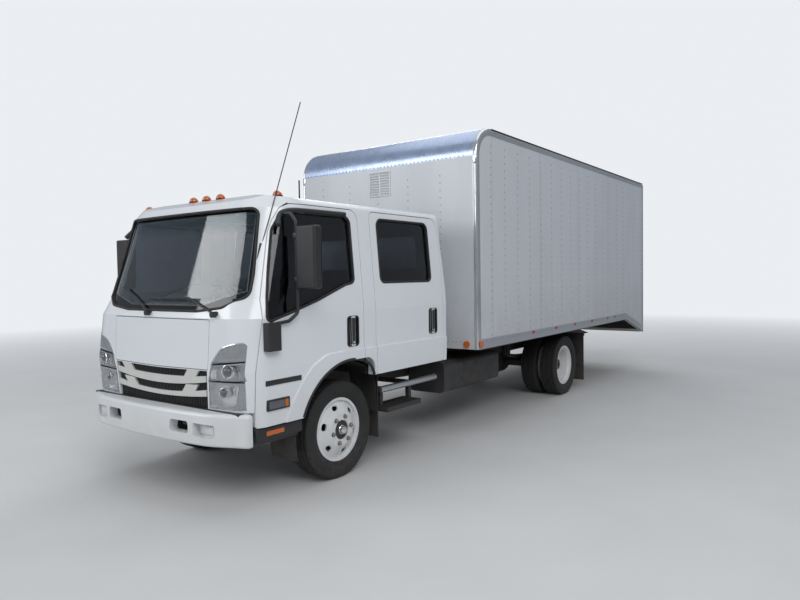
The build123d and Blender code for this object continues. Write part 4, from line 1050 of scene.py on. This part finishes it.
makeGrilleRibs(frontLooks)
makeBumperFittings()
print("stage: grille and bumper")


# Outlines as (across, height, corner radius); seen from the side, across counts back from the front axle
glazingLooks = {
    "sealRadius": 0.011, "jambDepth": 0.03,
    "windscreen": [
        (-0.453, 1.425), (0.453, 1.425), (0.7, 1.452, 0.15), (0.88, 1.532, 0.055), (0.872, 1.68),
        (0.836, 1.934), (0.803, 2.165, 0.06), (-0.803, 2.165, 0.06), (-0.836, 1.934), (-0.872, 1.68),
        (-0.88, 1.532, 0.055), (-0.7, 1.452, 0.15),
    ],
    "front": [
        (-0.842, 1.345, 0.022), (-0.79, 1.548, 0.15), (-0.748, 1.735), (-0.677, 2.01, 0.12),
        (-0.613, 2.11, 0.06), (-0.53, 2.142, 0.06), (0.105, 2.142, 0.06), (0.105, 1.612, 0.04),
        (0.0, 1.595, 0.18), (-0.33, 1.485, 0.3),
    ],
    "rear": [(0.471, 1.605, 0.045), (0.471, 2.145, 0.06), (1.243, 2.145, 0.06), (1.248, 1.605, 0.045)],
    "back": [(-0.7, 1.56, 0.05), (0.7, 1.56, 0.05), (0.68, 2.06, 0.05), (-0.68, 2.06, 0.05)],
}


def finePoints(outline, longest=0.09):
    # Adds points on long straight stretches so that a seal follows a curved skin
    fine = []
    for (a, b), (c, d) in zip(outline, outline[1:] + outline[:1]):
        pieces = max(1, int(math.hypot(c - a, d - b) / longest))
        fine += [(a + (c - a) * i / pieces, b + (d - b) * i / pieces) for i in range(pieces)]
    return fine


def moved(outline, by):
    # An outline pushed outwards by a distance
    middleA = sum(a for a, b in outline) / len(outline)
    middleB = sum(b for a, b in outline) / len(outline)
    result = []
    for index, (a, b) in enumerate(outline):
        before, after = outline[index - 1], outline[(index + 1) % len(outline)]
        side = Vector((after[1] - before[1], before[0] - after[0])).normalized()
        if side.dot(Vector((a - middleA, b - middleB))) < 0:
            side = -side
        result.append((a + side.x * by, b + side.y * by))
    return result


def makeGlazing(values):
    outline = finePoints(softCorners(values["windscreen"], 6))

    def onFront(by, out):
        return [(x, onCab(x, z, ("cab_front",)) + out, z) for x, z in moved(outline, by)]

    seal = tubeAlong(onFront(0.007, 0.003), values["sealRadius"], loop=True)
    jamb = band(onFront(0.0015, 0), (0, 0.024, 0), 0.004)
    settle(joined([seal, jamb]), "windscreenSeal", "softRubber")
    for name in ("front", "rear"):
        outline = finePoints(softCorners(values[name], 6), 0.15)
        body = f"door_{name}_"

        def onDoor(by, out):
            return [
                (onSide(y, z, (body + "left",)) + out, frontAxleY + y, z) for y, z in moved(outline, by)]

        seal = tubeAlong(onDoor(0.005, -0.004), values["sealRadius"], loop=True)
        jamb = band(onDoor(0.0015, 0), (-values["jambDepth"], 0, 0), 0.004)
        settlePair(joined([seal, jamb]), name + "WindowSeal", "softRubber", body)
    points = []
    for x, z in moved(finePoints(softCorners(values["back"], 6)), 0.006):
        spot = landing("cab_back", (x, frontAxleY + 3, z), (0, -1, 0))
        points.append((x, spot.y - 0.003, z))
    settle(tubeAlong(points, values["sealRadius"], loop=True), "backWindowSeal", "softRubber")


doorLooks = {
    # name, from and to as (Y, Z), body
    "handles": [
        ("frontHandle", (0.0, 1.09), (0.138, 1.33), "door_front_"),
        ("rearHandle", (1.19, 1.1), (1.325, 1.335), "door_rear_"),
    ],
    # name, finish, from and to as (Y, Z), how far it stands out and reaches in, edge
    "frontFittings": [
        ("sideLampFrame", "blackPlastic", (-0.867, 0.709), (-0.645, 0.791), 0.01, 0.02, 0.008),
        ("sideLampLens", "darkLens", (-0.852, 0.722), (-0.7, 0.778), 0.0155, 0.004, 0.006),
        ("sideLampAmber", "amberLens", (-0.697, 0.722), (-0.664, 0.778), 0.015, 0.004, 0.006),
        ("doorStrip", "blackPlastic", (-0.876, 0.892), (-0.527, 0.93), 0.004, 0.02, 0.002),
    ],
    "visor": [(-0.69, 2.035), (-0.632, 2.122), (-0.56, 2.158), (-0.42, 2.163), (0.05, 2.163)],
    "visorRadius": 0.019, "gripHalf": 0.0245,
    # name, body, from and to as (Y, Z)
    "trims": [
        ("doorTrimFront", "door_front_", (-0.8, 1.05), (0.19, 1.33)),
        ("doorTrimRear", "door_rear_", (0.4, 0.9), (1.4, 1.54)),
    ],
}


def squareCorners(low, high, radius):
    return softCorners([
        (low[0], low[1], radius), (high[0], low[1], radius),
        (high[0], high[1], radius), (low[0], high[1], radius)])


def makeHandle(name, low, high, body, values):
    # Rounded black bowl in the pocket, its rim, and the upright grip with the lock barrel
    floor = cabBlock(
        (1.0022, low[0] + 0.002, low[1] + 0.002), (1.0052, high[0] - 0.002, high[1] - 0.002), 0.001)
    corners = squareCorners((low[0] - 0.006, low[1] - 0.006), (high[0] + 0.006, high[1] + 0.006), 0.03)
    rim = ringFrame([(1.0262, frontAxleY + y, z) for y, z in corners], 0.012, (0.0085, 0, 0), 0.002)
    walls = band([(1.0262, frontAxleY + y, z) for y, z in moved(corners, -0.0085)], (-0.023, 0, 0), 0.003)
    middle, half = (low[0] + high[0]) / 2, values["gripHalf"]
    grip = cabBlock(
        (1.0155, middle - half, low[1] + 0.006), (1.0405, middle + half, high[1] - 0.006), 0.01, 3)
    settlePair(joined([floor, rim, walls, grip]), name, "blackPlastic", body)
    lock = roundBar((1.0405, frontAxleY + middle, low[1] + 0.03), 0.011, 0.005, edge=0.001, sides=20)
    settlePair(lock, name + "Lock", "chrome", body)


def makeDoorHardware(values):
    door = ("door_front_left",)
    for name, low, high, body in values["handles"]:
        makeHandle(name, low, high, body, values)
    # Side lamp in a black frame, and the bare black strip over it
    for name, look, low, high, out, inside, edge in values["frontFittings"]:
        x = onSide((low[0] + high[0]) / 2, (low[1] + high[1]) / 2, door)
        settlePair(cabBlock((x - inside, *low), (x + out, *high), edge), name, look, "door_front_")
    # Dark rain visor over the front window
    path = [(onSide(y, z, door) + 0.008, frontAxleY + y, z) for y, z in values["visor"]]
    settlePair(tubeAlong(path, values["visorRadius"], 8), "rainVisor", "blackPlastic", "door_front_")
    # Mirror glass, its rim and the clamps on the arm
    glass = cabBlock((1.0905, -0.5475, 1.59), (1.27, -0.544, 2.01), 0.0015)
    settlePair(glass, "mirrorGlass", "chrome", "door_front_")
    corners = squareCorners((1.086, 1.585), (1.2745, 2.015), 0.02)
    rim = ringFrame([(x, frontAxleY - 0.5475, z) for x, z in corners], 0.009, (0, 0.006, 0), 0.002)
    clamps = [cabBlock((1.058, -0.622, z - 0.022), (1.1, -0.58, z + 0.022), 0.006) for z in (1.64, 1.96)]
    settlePair(joined([rim] + clamps), "mirrorRim", "blackPlastic", "door_front_")


makeGlazing(glazingLooks)
makeDoorHardware(doorLooks)
print("stage: windows and doors")


archLooks = {
    "centreY": 0.029, "centreZ": 0.41, "radius": 0.572, "linerRadius": 0.552, "lip": 0.013, "lipSteps": 26,
    "doorEndY": 0.203, "doorLowZ": 0.606,
    "rearLip": [(0.214, 0.951), (0.262, 0.93), (0.31, 0.897), (0.338, 0.85), (0.348, 0.82)],
    "linerTail": [(0.43, 0.8), (0.45, 0.7), (0.455, 0.47)],
}


def makeArches(values):
    middleY, middleZ, radius = values["centreY"], values["centreZ"], values["radius"]
    # The lip on the door's part of the arch, then the part behind the door
    stop = math.acos((values["doorEndY"] - middleY) / radius)
    start = math.pi - math.asin((values["doorLowZ"] - middleZ) / radius)
    lip = []
    for index in range(values["lipSteps"] + 1):
        angle = start + (stop - start) * index / values["lipSteps"]
        y, z = middleY + radius * math.cos(angle), middleZ + radius * math.sin(angle)
        lip.append((onSide(y, z, ("door_front_left",)) - 0.006, frontAxleY + y, z))
    settlePair(tubeAlong(lip, values["lip"]), "archLipFront", "blackPlastic", "door_front_")
    lip = [(1.024, frontAxleY + y, z) for y, z in values["rearLip"]]
    settlePair(tubeAlong(lip, values["lip"], 8), "archLipRear", "blackPlastic")
    # The black liner over the tyre
    radius = values["linerRadius"]
    angles = [math.radians(a) for a in range(196, 47, -6)]
    path = [(middleY + radius * math.cos(a), middleZ + radius * math.sin(a)) for a in angles]
    path += values["linerTail"]

    def onLiner(u, v):
        y, z = path[round(u * (len(path) - 1))]
        return 0.665 + v * 0.285, frontAxleY + y, z

    liner = thickened(gridSheet(len(path) - 1, 2, onLiner), 0.004)
    settlePair(liner, "archLiner", "softRubber")


def makeSills():
    sill = cabBlock((0.93, -0.955, 0.497), (1.0, -0.5, 0.59), 0.012, 3)
    settlePair(sill, "entrySill", "blackPlastic")
    glow = cabBlock((0.996, -0.86, 0.532), (1.0045, -0.69, 0.566), 0.003)
    settlePair(glow, "sillReflector", "amberLens")
    # Silver rail and ribbed tread of the step under the rear door
    rail = roundBar((0.915, frontAxleY + 1.005, 0.64), 0.0295, 0.9, "Y", 0.006, 24)
    settlePair(rail, "stepRail", "millAluminium")
    ribs = stacked(cabBlock((0.782, 0.566, 0.485), (0.998, 0.574, 0.491), 0.002, 1), 26, (0, 0.02, 0))
    plate = cabBlock((0.776, 0.556, 0.442), (1.004, 1.084, 0.4875), 0.016, 3)
    settlePair(joined([ribs, plate]), "stepTread", "chassisBlack")


makeArches(archLooks)
makeSills()
print("stage: arches and steps")


bodyLooks = {
    "rivetRadius": 0.0075, "rivetRise": 0.0028, "rivetPitch": 0.0762, "rowPitch": 0.317, "firstRow": 2.117,
    "rowEnd": 7.58, "rowLow": 1.02, "rowHigh": 3.08, "frontHigh": 2.84, "frontPitch": 0.0508,
    # rivets along the rails: height, from and to
    "railRows": [(0.958, 1.91, 6.62), (3.142, 2.12, 7.62)],
    "frontRows": [-0.88, -0.465, -0.05, 0.365, 0.78], "frontLines": [2.872, 0.958],
    "frontLineHalf": 1.12,
    "noseRadius": 0.32, "bendSteps": 14, "bowRadius": 0.302, "bowX": 1.199,
    "noseFoot": 2.872, "noseWidth": 2.344,
    "ventLow": (-0.17, 2.545), "ventHigh": (0.13, 2.825), "blades": 9, "bladeEdge": 0.01,
    "bladeSpans": [(-0.158, -0.03), (-0.01, 0.118)],
    "reflectors": [3.14, 3.82, 4.46, 5.12, 5.79, 6.13],
    "lockBar": 0.0072, "lockX": 0.8, "leverReach": 0.34, "keepers": [1.0, 1.45, 1.9, 2.35, 2.8],
    "catches": [1.318, 1.364],
}


def rivet(place, axis, values):
    # A low domed head
    along, side = "XYZ".index(axis), 1 if axis == "X" else -1
    turn = (0, math.pi / 2, 0) if axis == "X" else (math.pi / 2, 0, 0)
    bpy.ops.mesh.primitive_cylinder_add(
        vertices=8, radius=values["rivetRadius"], depth=0.004, location=place, rotation=turn)
    head = fresh()
    editFaces(head, lambda centre, normal: normal[along] * side > 0.9)
    push = [0, 0, 0]
    push[along] = values["rivetRise"] * side
    bpy.ops.mesh.extrude_region_move(TRANSFORM_OT_translate={"value": push})
    bpy.ops.transform.resize(value=(1, 0.5, 0.5) if axis == "X" else (0.5, 1, 0.5))
    leaveEdit()
    return head


def makeRivets(values):
    pitch, low = values["rivetPitch"], values["rowLow"]
    rows = int((values["rowEnd"] - values["firstRow"]) / values["rowPitch"]) + 1
    side = rivet((boxHalf - 0.005, frontAxleY + values["firstRow"], low), "X", values)
    side = stacked(side, int((values["rowHigh"] - low) / pitch), (0, 0, pitch))
    side = stacked(side, rows, (0, values["rowPitch"], 0))
    for z, start, end in values["railRows"]:
        line = rivet((boxHalf + 0.0008, frontAxleY + start, z), "X", values)
        side = joined([side, stacked(line, int((end - start) / pitch), (0, pitch, 0))])
    settlePair(side, "sideRivets", "rivetGrey")
    pieces = []
    for x in values["frontRows"]:
        head = rivet((x, boxFrontY - 0.0008, low), "Y", values)
        pieces.append(stacked(head, int((values["frontHigh"] - low) / pitch), (0, 0, pitch)))
    pitch, half = values["frontPitch"], values["frontLineHalf"]
    for z in values["frontLines"]:
        head = rivet((-half, boxFrontY - 0.0008, z), "Y", values)
        pieces.append(stacked(head, int(2 * half / pitch), (pitch, 0, 0)))
    settle(joined(pieces), "frontRivets", "rivetGrey")


def makeNoseSheet(values):
    # The polished sheet bent over the nose between the side rails; the blue cast of its finish is a painted
    # sky reflection
    middleY, middleZ = boxFrontY + values["noseRadius"], boxTopZ - values["noseRadius"]
    steps = values["bendSteps"]
    angles = [math.radians(180 - 90 * i / steps) for i in range(steps + 1)]

    def arc(radius):
        return [(middleY + radius * math.cos(a), middleZ + radius * math.sin(a)) for a in angles]

    path = [(boxFrontY, values["noseFoot"]), *arc(values["noseRadius"]), (middleY + 0.02, boxTopZ)]

    def onNose(u, v):
        y, z = path[round(u * (len(path) - 1))]
        return (v - 0.5) * values["noseWidth"], y - 0.0006, min(z + 0.0006, boxTopZ - 0.001)

    settle(thickened(gridSheet(len(path) - 1, 8, onNose), 0.0016, 0), "noseSheet", "noseMetalPaintedSky")
    # Polished bow that carries the bend on each side, and the cast shoe at its foot
    x = values["bowX"]
    bend = [(x, y, z) for y, z in arc(values["bowRadius"])]
    bow = tubeAlong([(x, boxFrontY + 0.018, 0.9)] + bend, 0.0165, sides=5)
    settlePair(bow, "cornerBow", "polishedCast")
    foot = values["noseFoot"]
    shoe = roundedBlock((1.168, boxFrontY - 0.002, 2.77), (1.2185, boxFrontY + 0.062, foot), 0.014, 3)
    bolt = roundBar((1.2165, boxFrontY + 0.034, 2.835), 0.008, 0.006, edge=0.0015, sides=12)
    settlePair(joined([shoe, bolt]), "cornerShoe", "polishedCast")


def rectangle(low, high):
    return [low, (high[0], low[1]), high, (low[0], high[1])]


def makeVent(values):
    # Pale frame and slanted louvres over the opening in the front wall
    low, high, edge = values["ventLow"], values["ventHigh"], values["bladeEdge"]
    outline = [(x, boxFrontY - 0.0045, z) for x, z in rectangle(low, high)]
    pieces = [ringFrame(outline, 0.013, (0, -0.004, 0), 0.001)]
    pitch = (high[1] - low[1] - 2 * edge) / values["blades"]
    for index in range(values["blades"]):
        z = low[1] + edge + (index + 0.5) * pitch
        for xLow, xHigh in values["bladeSpans"]:
            front, back = (boxFrontY - 0.01, z - 0.006), (boxFrontY + 0.012, z + 0.01)
            blade = [(xLow, *front), (xHigh, *front), (xHigh, *back), (xLow, *back)]
            pieces.append(panel(blade, (0, 0, 0.0018)))
    settle(joined(pieces), "ventLouvres", "portalWhite")


def makeRailFittings(values):
    # Small red reflectors along the bottom rail
    blocks = [
        cabBlock((boxHalf - 0.002, y - 0.028, 0.945), (boxHalf + 0.006, y + 0.028, 0.978), 0.003)
        for y in values["reflectors"]
    ]
    settlePair(joined(blocks), "railReflectors", "redLens")
    # Dark edge under the rail, down over the tail
    x = boxHalf - 0.01
    tail = [(x, frontAxleY + 1.84, 0.882), (x, kinkY, 0.882), (x, boxRearY - 0.012, 0.609)]
    settlePair(tubeAlong(tail, 0.006), "railEdge", "chassisBlack")
    # Dark capping along the top rail
    top = roundedBlock(
        (boxHalf - 0.036, boxFrontY + 0.34, boxTopZ - 0.0035), (boxHalf - 0.002, boxRearY - 0.004, boxTopZ),
        0.0012, 1)
    settlePair(top, "topCapping", "dullSteel")


def makeRearHardware(values):
    # Edge frame, and the lock bars with their keepers, levers and catches, outside the ramp door
    y = boxRearY
    outline = [(x, y + 0.0005, z) for x, z in rectangle((-1.066, 0.8), (1.066, 2.995))]
    border = ringFrame(outline, 0.045, (0, 0.005, 0), 0.002)
    settle(border, "rampFrame", "millAluminium", "ramp_door")
    radius = values["lockBar"]
    pieces = []
    for x in (-values["lockX"], values["lockX"]):
        pieces.append(roundBar((x, y + radius + 0.0005, 1.9), radius, 2.09, "Z", 0.002, 16))
        for z in values["keepers"]:
            pieces.append(roundedBlock((x - 0.03, y, z - 0.022), (x + 0.03, y + 0.0155, z + 0.022), 0.003))
        tip = x - math.copysign(values["leverReach"], x)
        lever = (min(x, tip), y + 0.005, 1.338), (max(x, tip), y + 0.015, 1.362)
        pieces.append(roundedBlock(*lever, 0.004))
        for z in values["catches"]:
            pieces.append(roundedBlock((tip - 0.02, y, z), (tip + 0.02, y + 0.0155, z + 0.018), 0.003))
    settle(joined(pieces), "lockBars", "dullSteel", "ramp_door")


makeRivets(bodyLooks)
makeNoseSheet(bodyLooks)
makeVent(bodyLooks)
makeRailFittings(bodyLooks)
makeRearHardware(bodyLooks)
print("stage: load body")


seatLooks = {
    "rounding": 0.034, "panelMargin": 0.07, "panelRise": 0.01,
    # name, x from, x to, front edge, base, panels across
    "places": [
        ("Driver", 0.26, 0.78, -0.33, 1.03, 1),
        ("Passenger", -0.8, 0.1, -0.33, 1.03, 2),
        ("Rear", -0.78, 0.78, 0.84, 1.1, 3),
    ],
    # sections as (back from the front edge, up from the base)
    "cushion": [(0, 0.006), (0.44, 0.006), (0.43, 0.168), (0, 0.14)],
    "backrest": [(0.402, 0.185), (0.482, 0.11), (0.556, 0.622), (0.452, 0.632)],
    "buckles": [(0.235, 0.06, 1.16), (0.13, 0.06, 1.16), (-0.27, 1.245, 1.28), (0.27, 1.245, 1.28)],
}


def paddedShape(profile, xLow, xHigh, faceTest, panels, values):
    # A stuffed block with raised panels sunk in by their seams on the face that is sat on
    width = (xHigh - xLow - 0.006) / panels
    pieces = []
    for index in range(panels):
        start = xLow + index * (width + 0.003)
        block = panel([(start, frontAxleY + y, z) for y, z in profile], (width, 0, 0))
        bevelled(block, values["rounding"], 4)
        editFaces(block, lambda centre, normal: faceTest(normal))
        bpy.ops.mesh.inset(thickness=values["panelMargin"], depth=values["panelRise"] * 0.3)
        bpy.ops.mesh.inset(thickness=0.006, depth=-0.005)
        bpy.ops.mesh.inset(thickness=0.012, depth=values["panelRise"])
        leaveEdit()
        pieces.append(block)
    return joined(pieces)


def makeSeats(values):
    first = None
    for name, xLow, xHigh, edge, base, panels in values["places"]:
        for part, faceTest in (
            ("cushion", lambda normal: normal.z > 0.97), ("backrest", lambda normal: normal.y < -0.95),
        ):
            profile = [(edge + y, base + z) for y, z in values[part]]
            piece = paddedShape(profile, xLow, xHigh, faceTest, panels, values)
            settle(piece, part + name, "seatCloth", angle=40)
            first = first or piece
    shells = [cabBlock((-0.775, 0.925, 0.852), (0.775, 1.265, 1.104), 0.02, 3)]
    for name, xLow, xHigh, edge, base, panels in values["places"]:
        low, high = (xLow + 0.02, edge + 0.03, base - 0.002), (xHigh - 0.02, edge + 0.46, base + 0.012)
        shells.append(cabBlock(low, high))
    settle(joined(shells), "seatPlinths", "blackPlastic")
    # Belt buckles on short webs between the cushions
    buckles = []
    for x, y, z in values["buckles"]:
        buckles.append(cabBlock((x - 0.014, y - 0.02, z), (x + 0.014, y + 0.02, z + 0.06), 0.006))
        buckles.append(cabBlock((x - 0.003, y - 0.012, z - 0.13), (x + 0.003, y + 0.012, z + 0.01), 0.001))
    settle(joined(buckles), "beltBuckles", "blackPlastic")
    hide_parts("seats")


dashLooks = {
    "wheelRadius": 0.199, "rimRadius": 0.0175, "columnX": 0.43, "columnY": -0.72, "columnZ": 1.33,
    "vents": [-0.7, -0.06, 0.12, 0.74], "dials": [0.35, 0.52], "knobs": [-0.06, 0.03, 0.12],
    "switches": 6, "switchPitch": 0.044, "columnLength": 0.193,
}


def makeSteeringWheel(values):
    along = Vector((0, 0.6, 0.8))
    turn = (-math.atan2(0.6, 0.8), 0, 0)
    hub = Vector((values["columnX"], frontAxleY + values["columnY"], values["columnZ"]))
    hub += along * values["columnLength"]
    bpy.ops.mesh.primitive_torus_add(
        major_radius=values["wheelRadius"], minor_radius=values["rimRadius"], major_segments=64,
        minor_segments=14, location=hub, rotation=turn)
    pieces = [fresh()]
    bpy.ops.mesh.primitive_cylinder_add(vertices=40, radius=0.076, depth=0.036, location=hub, rotation=turn)
    pieces.append(bevelled(fresh(), 0.008, 3))
    for side in (-1, 1):
        bpy.ops.mesh.primitive_cube_add(
            size=1, location=hub + Vector((side * 0.125, 0, 0)), rotation=turn, scale=(0.13, 0.048, 0.03))
        pieces.append(bevelled(fresh(), 0.007))
    for side in (-1, 1):
        start, end = hub - along * 0.06, hub - along * 0.05
        start, end = start + Vector((side * 0.03, 0, 0)), end + Vector((side * 0.19, 0, 0.01))
        pieces.append(tubeAlong([start, end], 0.007))
    settle(joined(pieces), "steeringWheel", "blackPlastic")


def makeDashboard(values):
    y = frontAxleY
    hood = cabBlock((0.225, -0.88, 1.4), (0.64, -0.715, 1.462), 0.022, 3)
    shelf = cabBlock((-0.78, -0.88, 1.396), (0.2, -0.72, 1.424), 0.01)
    console = cabBlock((-0.12, -0.735, 1.15), (0.18, -0.665, 1.372), 0.014, 3)
    settle(joined([hood, shelf, console]), "dashHood", "blackPlastic")
    # Air vents with their slats, dials, switches and knobs
    vents, slats = [], []
    for x in values["vents"]:
        outline = [(a, y - 0.688, b) for a, b in rectangle((x - 0.05, 1.318), (x + 0.05, 1.362))]
        vents.append(ringFrame(outline, 0.006, (0, 0.028, 0), 0.001))
        for step in range(4):
            z = 1.326 + step * 0.009
            slats.append(cabBlock((x - 0.045, -0.69, z), (x + 0.045, -0.664, z + 0.003), 0.0008, 1))
    dials = [roundBar((x, y - 0.712, 1.432), 0.034, 0.004, "Y", 0.001, 32) for x in values["dials"]]
    switches = []
    for index in range(values["switches"]):
        x = index * values["switchPitch"]
        switches.append(cabBlock((x - 0.095, -0.668, 1.262), (x - 0.06, -0.66, 1.286), 0.003))
    knobs = [roundBar((x, y - 0.656, 1.212), 0.017, 0.022, "Y", 0.004, 24) for x in values["knobs"]]
    settle(joined(vents + slats + dials + switches + knobs), "dashFittings", "softRubber")
    lever = tubeAlong([(-0.01, y - a, b) for a, b in ((0.6, 1.15), (0.59, 1.25), (0.56, 1.33))], 0.008, 6)
    knob = cabBlock((-0.032, -0.59, 1.318), (0.012, -0.535, 1.372), 0.016, 3)
    settle(joined([lever, knob]), "gearLever", "blackPlastic")


def makeDoorTrims(values):
    # Grey panels inside the doors with an armrest, a pull and a speaker ring
    for name, body, low, high in values["trims"]:
        middle, top = (low[0] + high[0]) / 2, high[1]
        board = cabBlock((0.956, *low), (0.9685, *high), 0.005)
        rest = cabBlock((0.9, middle - 0.2, top - 0.13), (0.96, middle + 0.2, top - 0.08), 0.016, 3)
        grip = cabBlock((0.948, middle - 0.33, top - 0.06), (0.958, middle - 0.24, top - 0.03))
        ring = turned(
            [(-0.004, 0.045), (-0.004, 0.062), (0.004, 0.062), (0.004, 0.045)],
            (0.953, frontAxleY + middle - 0.27, low[1] + 0.085), 32)
        settlePair(joined([board, rest, grip, ring]), name, "trimGrey", body)


makeSeats(seatLooks)
makeSteeringWheel(dashLooks)
makeDashboard(dashLooks)
makeDoorTrims(doorLooks)
print("stage: inside the cab")


roofLooks = {
    "markers": [(-0.832, -0.545), (-0.176, -0.55), (0.0, -0.552), (0.176, -0.55), (0.832, -0.545)],
    "plugs": [(0.371, 0.005), (0.396, 0.092)], "stub": (0.454, 0.066),
}


def makeRoofFittings(values):
    # Bases and domes of the marker lamps
    bases, domes = [], []
    for x, y in values["markers"]:
        start = (x, frontAxleY + y, 4)
        spots = [landing(node, start, (0, 0, -1)) for node in ("cab_roof", "cab_sides", "cab_front")]
        z = max(spot.z for spot in spots if spot)
        bases.append(roundBar((x, frontAxleY + y, z + 0.001), 0.041, 0.008, "Z", 0.002, 32))
        bpy.ops.mesh.primitive_uv_sphere_add(
            segments=32, ring_count=16, radius=1, location=(x, frontAxleY + y, z + 0.006),
            scale=(0.0365, 0.0365, 0.036))
        domes.append(fresh())
    settle(joined(bases), "lampBases", "softRubber")
    settle(joined(domes), "markerDomes", "amberLens")
    # Rubber plugs and a short aerial
    plugs = [roundBar((x, frontAxleY + y, 2.333), 0.012, 0.012, "Z", 0.003, 16) for x, y in values["plugs"]]
    settle(joined(plugs), "roofPlugs", "softRubber")
    x, y = values["stub"]
    foot = landing("cab_roof", (x, frontAxleY + y, 4), (0, 0, -1))
    base = roundBar((foot.x, foot.y, foot.z + 0.009), 0.014, 0.02, "Z", 0.004, 16)
    rod = roundBar((foot.x, foot.y, foot.z + 0.097), 0.0065, 0.166, "Z", 0.002, 12)
    settle(joined([base, rod]), "stubAerial", "softRubber")


makeRoofFittings(roofLooks)
print("stage: roof fittings")
